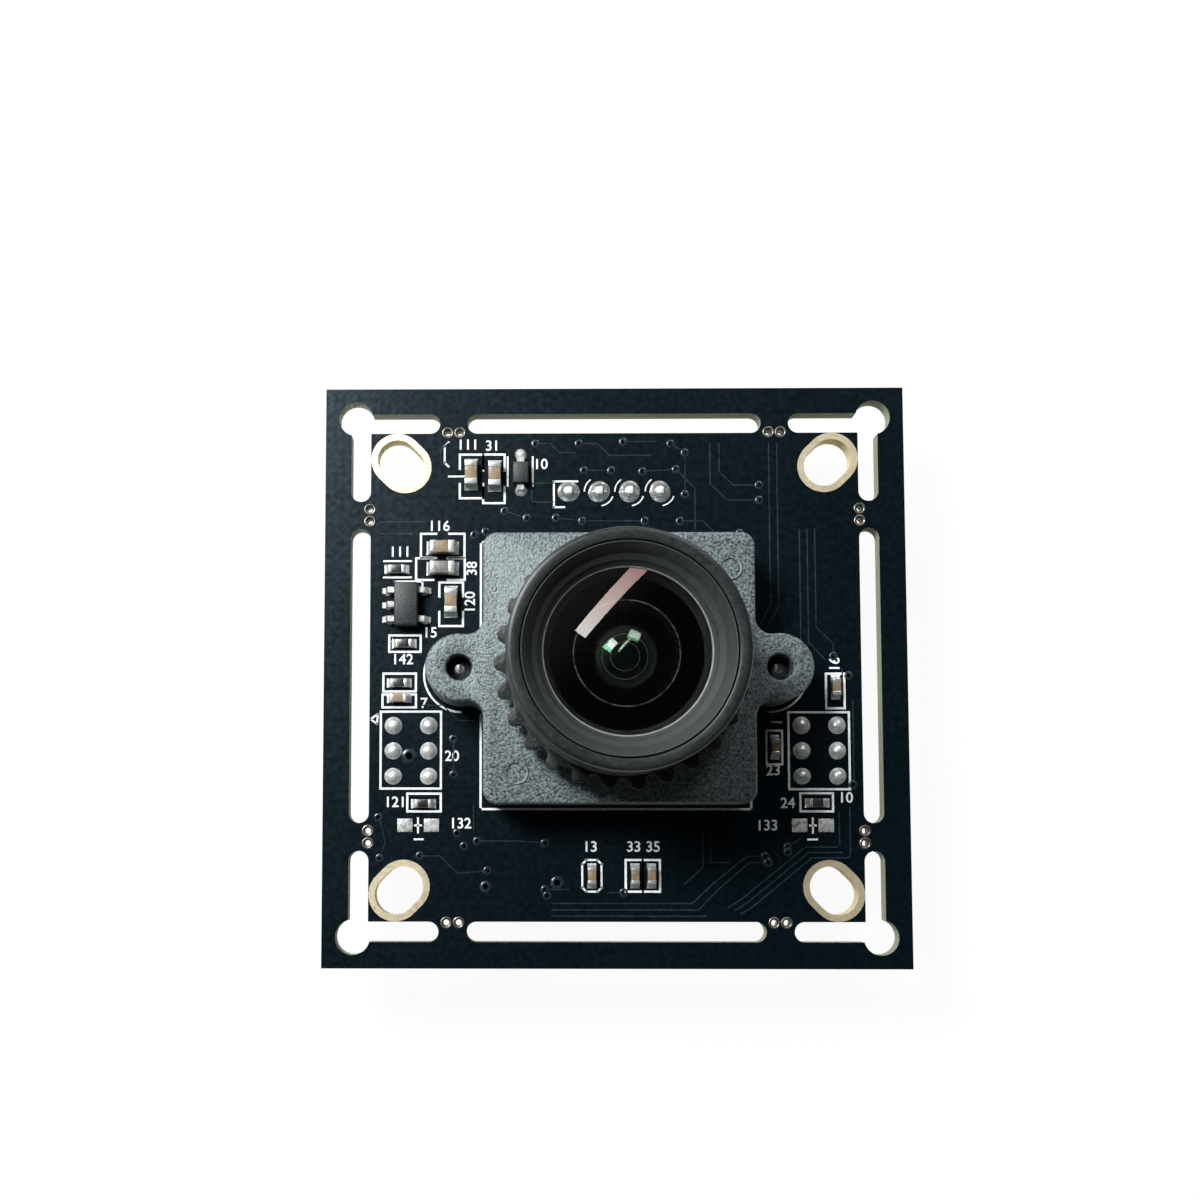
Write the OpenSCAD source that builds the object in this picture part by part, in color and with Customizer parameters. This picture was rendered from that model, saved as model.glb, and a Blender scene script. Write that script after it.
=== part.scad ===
// Board camera module: a slotted circuit board with a screw-focus lens on its
// front face and a four-way wire socket on its back face.
// The board lies in the XY plane with its back face at z = 0 and the lens along +Z.

/* [Circuit board] */
// Width of the square core that carries the parts
core_w = 32; // [31.5:0.5:36]
// Width of the routed slots between the core and the break-off rim
slot_w = 1.3; // [1.0:0.1:1.6]
// Width of the break-off rim outside the slots
rim_w = 1.7; // [1.5:0.1:3]
// Thickness of the board
board_t = 1.2; // [0.8:0.1:1.6]
// Width of the bridges that join the rim to the core
bridge_w = 1.8; // [1.6:0.1:2.6]
// Distance of each bridge from the core's nearest corner
bridge_inset = 5.45; // [5.0:0.05:5.8]
// Diameter of the perforation holes in the bridges
bite_d = 0.54; // [0.4:0.02:0.6]
// Distance between the two perforation holes of a bridge
bite_pitch = 0.8; // [0.75:0.05:0.95]
// Diameter of the round holes in the rim's corners
corner_hole_d = 2.26; // [1.8:0.02:2.3]
// Distance of the corner holes outside the core's edges
corner_hole_out = 1.0; // [0.9:0.05:1.1]
// Thickness of the gold and tin layers on the board's faces
plating_t = 0.05; // [0.03:0.01:0.1]

/* [Mounting holes] */
// Distance of the mounting holes from the core's edges
mount_inset = 2.0; // [1.9:0.05:2.2]
// Width of each mounting hole
mount_hole_w = 2.6; // [2.1:0.1:2.7]
// Distance between the centres of a mounting hole's two round ends
mount_hole_travel = 0.74; // [0.4:0.02:0.9]
// Width of the gold ring round each mounting hole
mount_ring_w = 0.42; // [0.3:0.02:0.5]

/* [Lens holder] */
// Width of the holder's square base
holder_w = 17; // [16.6:0.1:17.4]
// Height of the holder's base and ears above the board
holder_h = 4.3; // [4.0:0.1:5]
// Radius of the corners of the base
holder_corner_r = 0.85; // [0.5:0.05:1.5]
// Thickness of the walls round the sensor chamber
holder_wall = 1.3; // [1.0:0.1:1.8]
// Height of the sensor chamber above the board
chamber_h = 2.4; // [2.2:0.1:2.5]
// Thickness of the shelf that the filter is bonded under
shelf_t = 0.5; // [0.4:0.05:0.6]
// Height of the round collar above the base
collar_h = 1.0; // [0.8:0.1:2]
// Wall of the round collar outside the lens thread
collar_wall = 0.95; // [0.8:0.05:1.2]
// Distance between the two screw holes of the ears
ear_pitch = 20; // [19.8:0.1:20.4]
// Radius of the ears
ear_r = 2.12; // [2.0:0.02:2.3]
// Radius of the fillets where the ears join the base
ear_fillet_r = 1.0; // [0.6:0.1:1.2]
// Diameter of the screw holes in the ears
ear_hole_d = 1.6; // [1.4:0.05:1.8]

/* [Lock ring] */
// Radius over the ring's lobes
ring_r = 7.78; // [7.6:0.02:8.2]
// Depth of the valleys between the lobes
lobe_depth = 0.75; // [0.5:0.05:0.85]
// Radius of the rounded tip of a lobe
lobe_tip_r = 0.42; // [0.3:0.02:0.46]
// Number of lobes round the ring
lobes = 26; // [20:2:26]
// Height of the lock ring
ring_h = 1.75; // [1.4:0.05:2.4]

/* [Lens] */
// Outer diameter of the lens thread
thread_d = 12; // [11.9:0.05:12.1]
// Diameter of the lens head
head_d = 14; // [13.6:0.1:14.4]
// Height of the lens head
head_h = 4.6; // [4.2:0.1:5.5]
// Length of thread showing between the lock ring and the lens head
thread_show = 1.4; // [0.8:0.1:2.5]
// Gap between the back of the lens and the filter shelf
focus_gap = 0.4; // [0.2:0.1:0.8]
// Size of the chamfers on the lens head
head_chamfer = 0.2; // [0.1:0.05:0.4]
// Radius of the recess that the hood screws into
recess_r = 6.22; // [6.1:0.02:6.4]
// Depth of the hood below the lens front
hood_h = 1.4; // [1.0:0.1:1.6]
// Radius of the opening at the foot of the hood
hood_foot_r = 4.83; // [4.6:0.05:5]
// Width of the flat lip at the hood's front
hood_lip_w = 0.12; // [0.08:0.02:0.3]
// Number of light-trap steps in the hood
hood_steps = 6; // [4:1:8]
// Radius of the front glass
front_r = 5.35; // [5.2:0.05:5.5]
// Radius of the glasses behind it
mid_r = 4.35; // [4.1:0.05:4.5]
// Radius of the rear glass
rear_r = 3.55; // [3.3:0.05:3.7]
// Radius of the hollow in the back of the front glass
hollow_r = 2.95; // [2.5:0.05:3.2]
// Radius of the aperture
stop_r = 1.0; // [0.8:0.05:1.6]

/* [Wire socket] */
// Number of ways
ways = 4; // [2:1:5]
// Distance between the pins
pin_pitch = 2; // [2:0.1:2.5]
// Width of the square pins
pin_w = 0.5; // [0.4:0.05:0.6]
// Height of the socket behind the board
socket_h = 6; // [5:0.25:8]
// Width of the socket across the pin row
socket_d = 4.5; // [4.3:0.1:5]
// Wall of the socket
socket_wall = 0.6; // [0.5:0.05:0.8]
// Thickness of the socket's floor
socket_floor = 1.4; // [1.0:0.1:1.8]
// Distance of the pin row from the core's top edge
socket_inset = 3.9; // [3.7:0.1:4.2]

/* [Small parts] */
// Length of the large chip parts
big_chip_l = 1.6; // [1.4:0.05:1.7]
// Width of the large chip parts
big_chip_w = 0.82; // [0.7:0.02:0.9]
// Length of the small chip parts
small_chip_l = 1.1; // [0.9:0.05:1.2]
// Width of the small chip parts
small_chip_w = 0.55; // [0.45:0.05:0.65]
// Height of the chip resistors
resistor_h = 0.38; // [0.3:0.02:0.5]
// Length of the regulator's moulded body
regulator_l = 2.8; // [2.6:0.1:3]
// Width of the regulator's moulded body
regulator_w = 1.5; // [1.4:0.05:1.6]
// Height of the moulded bodies with legs
moulded_h = 1.1; // [0.9:0.05:1.4]
// Radius of the solder bumps beside the holder
bump_r = 0.55; // [0.45:0.05:0.65]
// Distance between the bumps of a column
bump_pitch = 1.65; // [1.5:0.05:1.8]
// Distance between the two columns of bumps
bump_span = 2.3; // [2.0:0.1:2.4]
// Width of the image processor's package
processor_w = 9; // [8:0.5:10]
// Height of the image processor's package
processor_h = 0.9; // [0.7:0.1:1.4]
// Length of the memory chip's body
memory_l = 4.9; // [4.7:0.1:5.1]
// Width of the memory chip's body
memory_w = 3.9; // [3.6:0.1:4.1]
// Height of the memory chip's body
memory_h = 1.5; // [1.2:0.05:1.8]
// Distance between the memory chip's legs
memory_leg_pitch = 1.27; // [1.2:0.01:1.3]
// Reach of the memory chip's legs
memory_leg_reach = 1.05; // [0.9:0.05:1.2]

/* [Hidden] */
$fn = 64;
// Radial gap between a thread and its bore
thread_gap = 0.05;
// Gap between parts that are turned against each other
turn_gap = 0.05;
// Gap round each glass in its seat
glass_gap = 0.05;
// Depth by which a cut runs past a face
over = 1;

core_h = core_w / 2;
board_w = core_w + 2 * (slot_w + rim_w);
slot_at = core_h + slot_w / 2;
bridge_at = core_h - bridge_inset;
corner_hole_at = core_h + corner_hole_out;
mount_at = core_h - mount_inset;
mount_r = mount_hole_w / 2;
ear_at = ear_pitch / 2;
holder_top = board_t + holder_h;
chamber_top = board_t + chamber_h;
shelf_top = chamber_top + shelf_t;
collar_top = holder_top + collar_h;
bore_r = thread_d / 2 + thread_gap;
thread_r = thread_d / 2;
collar_r = bore_r + collar_wall;
ring_low = collar_top + turn_gap;
ring_top = ring_low + ring_h;
head_low = ring_top + thread_show;
lens_front = head_low + head_h;
lens_back = shelf_top + focus_gap;
hood_low = lens_front - hood_h;

// The glasses are stacked down from the foot of the hood
front_edge_drop = 0.12;
front_t = 1.5;
front_rise = 0.6;
front_low = hood_low - front_edge_drop - front_t;
spacer_t = 1.2;
second_t = 1.2;
stop_t = 0.3;
third_t = 1.2;
second_low = front_low - spacer_t - second_t;
stop_low = second_low - stop_t;
third_low = stop_low - third_t;
mid_floor = third_low;
rear_wall_t = 0.3;
rear_t = 1.3;
rear_low = mid_floor - rear_wall_t - rear_t;
nut_t = 0.6;
nut_low = rear_low - nut_t;

socket_l = (ways - 1) * pin_pitch + 3.9;
socket_y = core_h - socket_inset;
socket_row_to_back = 1.7;
pin_below = socket_h - 0.6;
pin_above = 0.45;
pin_hole_r = 0.45;
solder_r = 0.78;
solder_h = 0.5;

screw_r = ear_hole_d / 2 - 0.02;
screw_hole_r = 1.05;
screw_head_r = 1.75;
screw_head_h = 1.2;
screw_up = 3.3;

sensor_w = 7.2;
sensor_d = 6.4;
sensor_h = 0.8;
window_w = 5.8;
window_d = 5.0;
window_t = 0.4;
window_seat = 0.25;
filter_w = 7.6;
filter_t = 0.3;
shelf_opening_w = 6.4;

lead_t = 0.15;
body_lift = 0.1;
sensor_top = board_t + sensor_h;

// Places on the core, measured in from its left, right, top and bottom edges
function left(d) = -core_h + d;
function right(d) = core_h - d;
function top(d) = core_h - d;
function low(d) = -core_h + d;

// Middle of the strip between the left ear and the core's edge
ear_strip_x = -(ear_at + ear_r + core_h) / 2;
// Place between the holder's right side and the solder bumps beyond it
bumps_right_edge = right(2.8) - bump_span / 2 - bump_r;
beside_holder_x = holder_w / 2 + 0.6 * (bumps_right_edge - holder_w / 2);

// Each chip part is [x, y, angle]
BIG_CAPACITORS = [
    [left(6.6), top(2.75), 90],
    [left(8.15), top(2.85), 90],
    [left(4.75), 8.35, 0],
    [left(5.3), 4.8, 90]
];
SMALL_CAPACITORS = [
    [ear_strip_x, -1.55, 0],
    [-1.56, low(2.95), 90],
    [1.22, low(2.95), 90],
    [2.28, low(2.95), 90],
    [right(1.7), -0.85, 90],
    [beside_holder_x, -4.75, 90]
];
SMALL_RESISTORS = [
    [left(1.75), 6.95, 0],
    [left(2.25), 2.05, 0],
    [ear_strip_x, -0.54, 0],
    [left(3.55), -8.4, 0],
    [right(3.0), -8.35, 0]
];
BEAD = [left(4.75), 6.98, 0];
DIODE = [left(9.85), top(2.75)];
REGULATOR = [left(2.4), 4.55];
BUMPS_Y = -4.97;
BUMPS_LEFT_X = left(2.72);
BUMPS_RIGHT_X = right(2.8);
LED_PAD_Y = -9.8;
LED_PAD_W = 1.0;
LED_PAD_D = 0.88;
LED_PAD_PITCH = 1.72;
LED_LEFT_X = left(3.22);
LED_RIGHT_X = right(3.3);
PROCESSOR_Y = -1;
MEMORY = [left(5.6), -8.2];
CRYSTAL = [right(6.2), -6.2];
CHOKE = [right(6), 6.2];
BACK_CAPACITORS = [
    [left(6.6), 7.2, 90],
    [left(6.6), 4.6, 90],
    [-2.6, -8.4, 0],
    [2.6, -8.4, 0]
];

// Repeats its children on the four sides of the board
module on_each_side() {
    for (turn = [0:90:270])
        rotate(turn)
            children();
}

// A slot from a to b along X with round ends
module round_slot(a, b, w) {
    translate([a, -w / 2])
        square([b - a, w]);
    for (x = [a, b])
        translate([x, 0])
            circle(d = w);
}

// The outline of the four mounting holes, each stretched towards its corner
module mount_hole_outlines(r) {
    on_each_side()
        translate([mount_at, mount_at])
            rotate(45)
                round_slot(-mount_hole_travel / 2, mount_hole_travel / 2, 2 * r);
}

// The slots and holes of one side of the board
module side_cuts() {
    half_slot = bridge_at - bridge_w / 2 - slot_w / 2;
    arm_from = bridge_at + bridge_w / 2 + slot_w / 2;
    translate([0, slot_at])
        round_slot(-half_slot, half_slot, slot_w);
    for (side = [-1, 1]) {
        translate([0, slot_at])
            mirror([side < 0 ? 1 : 0, 0])
                round_slot(arm_from, slot_at, slot_w);
        for (step = [-0.5, 0.5])
            translate([side * bridge_at + step * bite_pitch, core_h + bite_d / 10])
                circle(d = bite_d);
    }
    translate([corner_hole_at, corner_hole_at])
        circle(d = corner_hole_d);
}

module circuit_board() {
    color("#1d2a2e")
        linear_extrude(board_t)
            difference() {
                square(board_w, center = true);
                on_each_side()
                    side_cuts();
                mount_hole_outlines(mount_r);
                for (side = [-1, 1])
                    translate([side * ear_at, 0])
                        circle(screw_hole_r);
                for (i = [0:ways - 1])
                    translate([pin_x(i), socket_y])
                        circle(pin_hole_r);
            }
}

// Gold rings round the mounting holes, on both faces
module mounting_pads() {
    color("#d8c78f")
        for (z = [-plating_t, board_t])
            translate([0, 0, z])
                linear_extrude(plating_t)
                    intersection() {
                        square(core_w, center = true);
                        difference() {
                            mount_hole_outlines(mount_r + mount_ring_w);
                            mount_hole_outlines(mount_r);
                        }
                    }
}

// The base of the holder: a rounded square with two filleted ears
module holder_outline() {
    half = holder_w / 2;
    union() {
        square([holder_w, holder_w - 2 * holder_corner_r], center = true);
        square([holder_w - 2 * holder_corner_r, holder_w], center = true);
        for (x = [-1, 1], y = [-1, 1])
            translate([x * (half - holder_corner_r), y * (half - holder_corner_r)])
                circle(holder_corner_r);
        for (x = [0, 1])
            mirror([x, 0])
                holder_ear();
    }
}

module holder_ear() {
    half = holder_w / 2;
    fillet_x = half + ear_fillet_r;
    reach = ear_r + ear_fillet_r;
    fillet_y = sqrt(reach * reach - pow(ear_at - fillet_x, 2));
    translate([ear_at, 0])
        circle(ear_r);
    for (y = [0, 1])
        mirror([0, y])
            difference() {
                polygon([
                    [half - over, 0],
                    [half - over, fillet_y],
                    [fillet_x, fillet_y],
                    [ear_at, 0]
                ]);
                translate([fillet_x, fillet_y])
                    circle(ear_fillet_r);
            }
}

// Moulded holder: chamber over the sensor, filter shelf, threaded bore and ears
module lens_holder() {
    chamber_w = holder_w - 2 * holder_wall;
    color("#3b4142")
        difference() {
            union() {
                translate([0, 0, board_t])
                    linear_extrude(holder_h)
                        holder_outline();
                translate([0, 0, holder_top - over])
                    cylinder(r = collar_r, h = collar_h + over);
            }
            translate([-chamber_w / 2, -chamber_w / 2, board_t - over])
                cube([chamber_w, chamber_w, chamber_h + over]);
            translate([-shelf_opening_w / 2, -shelf_opening_w / 2, chamber_top - over])
                cube([shelf_opening_w, shelf_opening_w, shelf_t + 2 * over]);
            translate([0, 0, shelf_top])
                cylinder(r = bore_r, h = collar_top - shelf_top + over);
            for (side = [-1, 1])
                translate([side * ear_at, 0, board_t - over])
                    cylinder(d = ear_hole_d, h = holder_h + 2 * over);
        }
}

// Self-tapping screws that hold the holder's ears from behind the board
module holder_screws() {
    tip_h = 0.6;
    recess_l = 2.0;
    recess_w = 0.5;
    recess_h = 0.6;
    color("#8a8d90")
        for (side = [-1, 1])
            translate([side * ear_at, 0, 0])
                difference() {
                    union() {
                        translate([0, 0, -screw_head_h])
                            cylinder(r1 = screw_head_r - 0.35, r2 = screw_head_r, h = 0.4);
                        translate([0, 0, 0.4 - screw_head_h])
                            cylinder(r = screw_head_r, h = screw_head_h - 0.4);
                        translate([0, 0, -0.1])
                            cylinder(r = screw_r, h = board_t + screw_up + 0.1 - tip_h);
                        translate([0, 0, board_t + screw_up - tip_h])
                            cylinder(r1 = screw_r, r2 = 0.3, h = tip_h);
                    }
                    for (turn = [0, 90])
                        rotate(turn)
                            translate([-recess_l / 2, -recess_w / 2, -screw_head_h - over])
                                cube([recess_l, recess_w, recess_h + over]);
                }
}

// Turned brass-black barrel: the threaded tail, the head, and the stepped seats inside
module lens_barrel() {
    head_r = head_d / 2;
    seat_r = front_r + glass_gap;
    mid_seat_r = mid_r + glass_gap;
    rear_seat_r = rear_r + glass_gap;
    rear_window_r = rear_r - 0.5;
    color("#26282a")
        rotate_extrude()
            polygon([
                [rear_seat_r, lens_back],
                [thread_r - 0.3, lens_back],
                [thread_r, lens_back + 0.3],
                [thread_r, head_low],
                [head_r - head_chamfer, head_low],
                [head_r, head_low + head_chamfer],
                [head_r, lens_front - head_chamfer],
                [head_r - head_chamfer, lens_front],
                [recess_r, lens_front],
                [recess_r, hood_low],
                [seat_r, hood_low],
                [seat_r, front_low],
                [mid_seat_r, front_low],
                [mid_seat_r, mid_floor],
                [rear_window_r, mid_floor],
                [rear_window_r, mid_floor - rear_wall_t],
                [rear_seat_r, mid_floor - rear_wall_t]
            ]);
}

// Hood that holds the front glass in, with its bore stepped to trap light
module lens_hood() {
    outer_r = recess_r - 0.07;
    rise = hood_h / hood_steps;
    top_r = outer_r - hood_lip_w;
    run = (top_r - hood_foot_r) / (hood_steps - 1);
    steps = [
        for (i = [0:hood_steps - 1], end = [0, 1])
            [hood_foot_r + i * run, hood_low + (i + end) * rise]
    ];
    color("#303436")
        rotate_extrude()
            polygon(concat(steps, [[outer_r, lens_front], [outer_r, hood_low]]));
}

// A ball whose surface passes through the rim r at height z and bulges up by rise
module dome_ball(r, z, rise) {
    ball_r = (r * r + rise * rise) / (2 * rise);
    translate([0, 0, z + rise - ball_r])
        sphere(ball_r);
}

// Front glass: shallow dome outside, hollow in the back
module front_glass() {
    edge_top = front_low + front_t;
    hollow_rise = 1.0;
    color("#1c2b33", 0.6)
        difference() {
            intersection() {
                translate([0, 0, front_low])
                    cylinder(r = front_r, h = front_t + front_rise);
                dome_ball(front_r, edge_top, front_rise);
            }
            dome_ball(hollow_r, front_low, hollow_rise);
        }
}

module lens_spacer() {
    color("#161718")
        rotate_extrude()
            polygon([
                [hollow_r + 0.6, second_low + second_t],
                [mid_r, second_low + second_t],
                [mid_r, front_low],
                [hollow_r, front_low]
            ]);
}

// Second glass: domed towards the front
module second_glass() {
    rise = 0.7;
    edge_r = hollow_r + 0.5;
    color("#24343a", 0.6)
        union() {
            translate([0, 0, second_low])
                cylinder(r = mid_r, h = second_t);
            intersection() {
                translate([0, 0, second_low])
                    cylinder(r = edge_r, h = second_t + rise);
                dome_ball(edge_r, second_low + second_t, rise);
            }
        }
}

module aperture_stop() {
    color("#101112")
        rotate_extrude()
            polygon([
                [stop_r, stop_low + stop_t / 2],
                [stop_r + 0.3, stop_low],
                [mid_r, stop_low],
                [mid_r, stop_low + stop_t],
                [stop_r, stop_low + stop_t]
            ]);
}

// Third glass: hollow towards the stop
module third_glass() {
    color("#24343a", 0.6)
        difference() {
            translate([0, 0, third_low])
                cylinder(r = mid_r, h = third_t);
            translate([0, 0, 2 * (third_low + third_t)])
                mirror([0, 0, 1])
                    dome_ball(2.6, third_low + third_t, 0.4);
        }
}

// Rear glass: domed towards the sensor
module rear_glass() {
    color("#24343a", 0.6)
        difference() {
            translate([0, 0, rear_low])
                cylinder(r = rear_r, h = rear_t);
            translate([0, 0, 2 * (rear_low + rear_t)])
                mirror([0, 0, 1])
                    dome_ball(2.4, rear_low + rear_t, 0.35);
        }
}

module rear_nut() {
    color("#161718")
        rotate_extrude()
            polygon([
                [rear_r - 1.0, nut_low],
                [rear_r, nut_low],
                [rear_r, rear_low],
                [rear_r - 0.7, rear_low]
            ]);
}

// Scalloped lock ring: round lobes with round valleys between them
module lock_ring() {
    pitch = 360 / lobes;
    tip_at = ring_r - lobe_tip_r;
    valley_r = ring_r - lobe_depth;
    cut_r = tip_at * sin(pitch / 2) - lobe_tip_r * 0.98;
    edge = 0.25;
    color("#2c3032")
        translate([0, 0, ring_low])
            difference() {
                union() {
                    linear_extrude(ring_h)
                        difference() {
                            circle(tip_at);
                            for (i = [0:lobes - 1])
                                rotate((i + 0.5) * pitch)
                                    translate([valley_r + cut_r, 0])
                                        union() {
                                            circle(cut_r);
                                            translate([0, -cut_r])
                                                square([ring_r, 2 * cut_r]);
                                        }
                        }
                    for (i = [0:lobes - 1])
                        rotate(i * pitch)
                            translate([tip_at, 0, 0])
                                cylinder(r = lobe_tip_r, h = ring_h);
                }
                translate([0, 0, -over])
                    cylinder(r = bore_r, h = ring_h + 2 * over);
                translate([0, 0, ring_h - edge])
                    cylinder(r1 = bore_r, r2 = bore_r + edge + 0.01, h = edge + 0.01);
            }
}

module infrared_filter() {
    color("#6f9aa6", 0.5)
        translate([-filter_w / 2, -filter_w / 2, chamber_top - filter_t])
            cube([filter_w, filter_w, filter_t]);
}

module image_sensor() {
    color("#20262a")
        difference() {
            translate([-sensor_w / 2, -sensor_d / 2, board_t])
                cube([sensor_w, sensor_d, sensor_h]);
            translate([-window_w / 2, -window_d / 2, sensor_top - window_seat])
                cube([window_w, window_d, window_seat + over]);
        }
}

module sensor_window() {
    color("#4a6f78", 0.5)
        translate([-window_w / 2, -window_d / 2, sensor_top - window_seat])
            cube([window_w, window_d, window_t]);
}

function pin_x(i) = (i - (ways - 1) / 2) * pin_pitch;

// Shrouded socket with its mouth facing away from the board
module socket_housing() {
    front = socket_y - (socket_d - socket_row_to_back);
    cavity_l = socket_l - 2 * socket_wall;
    cavity_d = socket_d - 2 * socket_wall;
    slot_l = 1.0;
    color("#e9e6dc")
        difference() {
            translate([-socket_l / 2, front, -socket_h])
                cube([socket_l, socket_d, socket_h]);
            translate([-cavity_l / 2, front + socket_wall, -socket_h - over])
                cube([cavity_l, cavity_d, socket_h - socket_floor + over]);
            for (side = [-1, 1])
                translate([side * socket_l / 4 - slot_l / 2, front - over, -socket_h - over])
                    cube([slot_l, socket_wall + 2 * over, socket_h - socket_floor + over]);
            for (i = [0:ways - 1])
                translate([pin_x(i) - pin_w / 2, socket_y - pin_w / 2, -socket_h])
                    cube([pin_w, pin_w, socket_h + over]);
        }
}

module socket_pins() {
    color("#d9d9d4")
        for (i = [0:ways - 1])
            translate([pin_x(i) - pin_w / 2, socket_y - pin_w / 2, -pin_below])
                cube([pin_w, pin_w, pin_below + board_t + pin_above]);
}

// A round cap of radius r and height h standing on z = 0
module bump(r, h) {
    intersection() {
        dome_ball(r, 0, h);
        cylinder(r = r + over, h = h + over);
    }
}

// Solder that fills each pin's hole and wets up its tip
module socket_solder() {
    color("#d5d8da")
        for (i = [0:ways - 1])
            translate([pin_x(i), socket_y, 0])
                difference() {
                    union() {
                        cylinder(r = pin_hole_r, h = board_t);
                        translate([0, 0, board_t])
                            bump(solder_r, solder_h);
                    }
                    translate([-pin_w / 2, -pin_w / 2, -over])
                        cube([pin_w, pin_w, board_t + pin_above + over]);
                }
}

// A moulded body with its four sides drawn in above the parting line
module moulded_body(l, w, h) {
    translate([-l / 2, -w / 2, body_lift])
        cube([l, w, h - body_lift]);
}

// One gull-wing leg that leaves the body's side at x = 0 and stands on z = 0
module leg(w, reach, from_z) {
    foot = reach * 0.45;
    translate([0, w / 2, 0])
        rotate([90, 0, 0])
            linear_extrude(w)
                polygon([
                    [0, from_z],
                    [reach - foot - lead_t, from_z],
                    [reach - foot, 0],
                    [reach, 0],
                    [reach, lead_t],
                    [reach - foot + lead_t, lead_t],
                    [reach - foot, from_z + lead_t],
                    [0, from_z + lead_t]
                ]);
}

module regulator_body() {
    color("#2f3133")
        translate([REGULATOR[0], REGULATOR[1], board_t])
            rotate(90)
                moulded_body(regulator_l, regulator_w, moulded_h);
}

module regulator_legs() {
    leg_pitch = 0.95;
    leg_w = 0.4;
    leg_reach = 0.85;
    color("#c9ccce")
        translate([REGULATOR[0], REGULATOR[1], board_t]) {
            for (i = [-1:1])
                translate([-regulator_w / 2, i * leg_pitch, 0])
                    rotate(180)
                        leg(leg_w, leg_reach, moulded_h / 2);
            for (i = [-1, 1])
                translate([regulator_w / 2, i * leg_pitch, 0])
                    leg(leg_w, leg_reach, moulded_h / 2);
        }
}

module diode_body() {
    color("#242628")
        translate([DIODE[0], DIODE[1], board_t])
            rotate(90)
                moulded_body(1.4, 1.0, 0.75);
}

module diode_legs() {
    color("#c9ccce")
        for (side = [90, 270])
            translate([DIODE[0], DIODE[1], board_t])
                rotate(side)
                    translate([0.7, 0, 0])
                        leg(0.5, 0.75, 0.3);
}

// A chip part: a body between two plated ends that stand a little proud of it
module chip(l, w, h) {
    end_l = l * 0.24;
    proud = 0.03;
    union() {
        translate([-l / 2 + proud, -w / 2 + proud, proud])
            cube([l - 2 * proud, w - 2 * proud, h - 2 * proud]);
        for (side = [0, 1])
            mirror([side, 0, 0])
                translate([-l / 2, -w / 2, 0])
                    cube([end_l, w, h]);
    }
}

module chip_at(place, l, w, h) {
    translate([place[0], place[1], board_t])
        rotate(place[2])
            chip(l, w, h);
}

module big_capacitor(i) {
    color("#a89468")
        chip_at(BIG_CAPACITORS[i], big_chip_l, big_chip_w, big_chip_w);
}

module small_capacitor(i) {
    color("#a08f6a")
        chip_at(SMALL_CAPACITORS[i], small_chip_l, small_chip_w, small_chip_w);
}

module small_resistor(i) {
    color("#2b2b2c")
        chip_at(SMALL_RESISTORS[i], small_chip_l, small_chip_w, resistor_h);
}

module ferrite_bead() {
    color("#b9b8ae")
        chip_at(BEAD, big_chip_l, big_chip_w, big_chip_w);
}

// Six solder bumps in two columns
module bumps_at(x) {
    bump_h = 0.4;
    color("#d5d8da")
        for (column = [-0.5, 0.5], row = [-1:1])
            translate([x + column * bump_span, BUMPS_Y + row * bump_pitch, board_t])
                bump(bump_r, bump_h);
}

module solder_bumps_left() {
    bumps_at(BUMPS_LEFT_X);
}

module solder_bumps_right() {
    bumps_at(BUMPS_RIGHT_X);
}

// Tinned pads of the two unfitted indicator lamps
module led_pads() {
    color("#dcd9c8")
        for (x = [LED_LEFT_X, LED_RIGHT_X], side = [-0.5, 0.5])
            translate([x + side * LED_PAD_PITCH - LED_PAD_W / 2, LED_PAD_Y - LED_PAD_D / 2, board_t])
                cube([LED_PAD_W, LED_PAD_D, plating_t]);
}

// Turns its children over so that what stands on z = 0 hangs under the board
module on_back(place) {
    translate([place[0], place[1], 0])
        rotate([180, 0, 0])
            children();
}

module processor_body() {
    color("#2a2c2e")
        on_back([0, PROCESSOR_Y])
            translate([-processor_w / 2, -processor_w / 2, plating_t])
                cube([processor_w, processor_w, processor_h - plating_t]);
}

// The row of tinned lands round the processor's foot
module processor_lands() {
    land_pitch = 0.5;
    land_w = 0.25;
    land_l = 0.6;
    lands = floor((processor_w - 1.5) / land_pitch) + 1;
    color("#c9ccce")
        on_back([0, PROCESSOR_Y])
            for (turn = [0:90:270], i = [0:lands - 1])
                rotate(turn)
                    translate([(i - (lands - 1) / 2) * land_pitch - land_w / 2, processor_w / 2 - 0.4, 0])
                        cube([land_w, land_l, plating_t]);
}

module memory_body() {
    color("#2a2c2e")
        on_back(MEMORY)
            rotate(90)
                moulded_body(memory_l, memory_w, memory_h);
}

module memory_legs() {
    color("#c9ccce")
        on_back(MEMORY)
            for (turn = [0, 180], i = [-1.5:1.5])
                rotate(turn)
                    translate([memory_w / 2, i * memory_leg_pitch, 0])
                        leg(0.4, memory_leg_reach, memory_h / 2);
}

module crystal_base() {
    color("#cfc9b5")
        on_back(CRYSTAL)
            translate([-1.6, -1.25, 0])
                cube([3.2, 2.5, 0.35]);
}

module crystal_can() {
    color("#c6c8c9")
        on_back(CRYSTAL)
            translate([-1.4, -1.05, 0.35])
                cube([2.8, 2.1, 0.4]);
}

// Shielded power choke: a ferrite block with cut corners
module choke() {
    color("#3a3b3c")
        on_back(CHOKE)
            linear_extrude(1.3)
                polygon([
                    [-1.5, -1.1], [-1.1, -1.5], [1.1, -1.5], [1.5, -1.1],
                    [1.5, 1.1], [1.1, 1.5], [-1.1, 1.5], [-1.5, 1.1]
                ]);
}

module back_capacitor(i) {
    color("#a89468")
        on_back(BACK_CAPACITORS[i])
            rotate(BACK_CAPACITORS[i][2])
                chip(big_chip_l, big_chip_w, big_chip_w);
}

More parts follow.
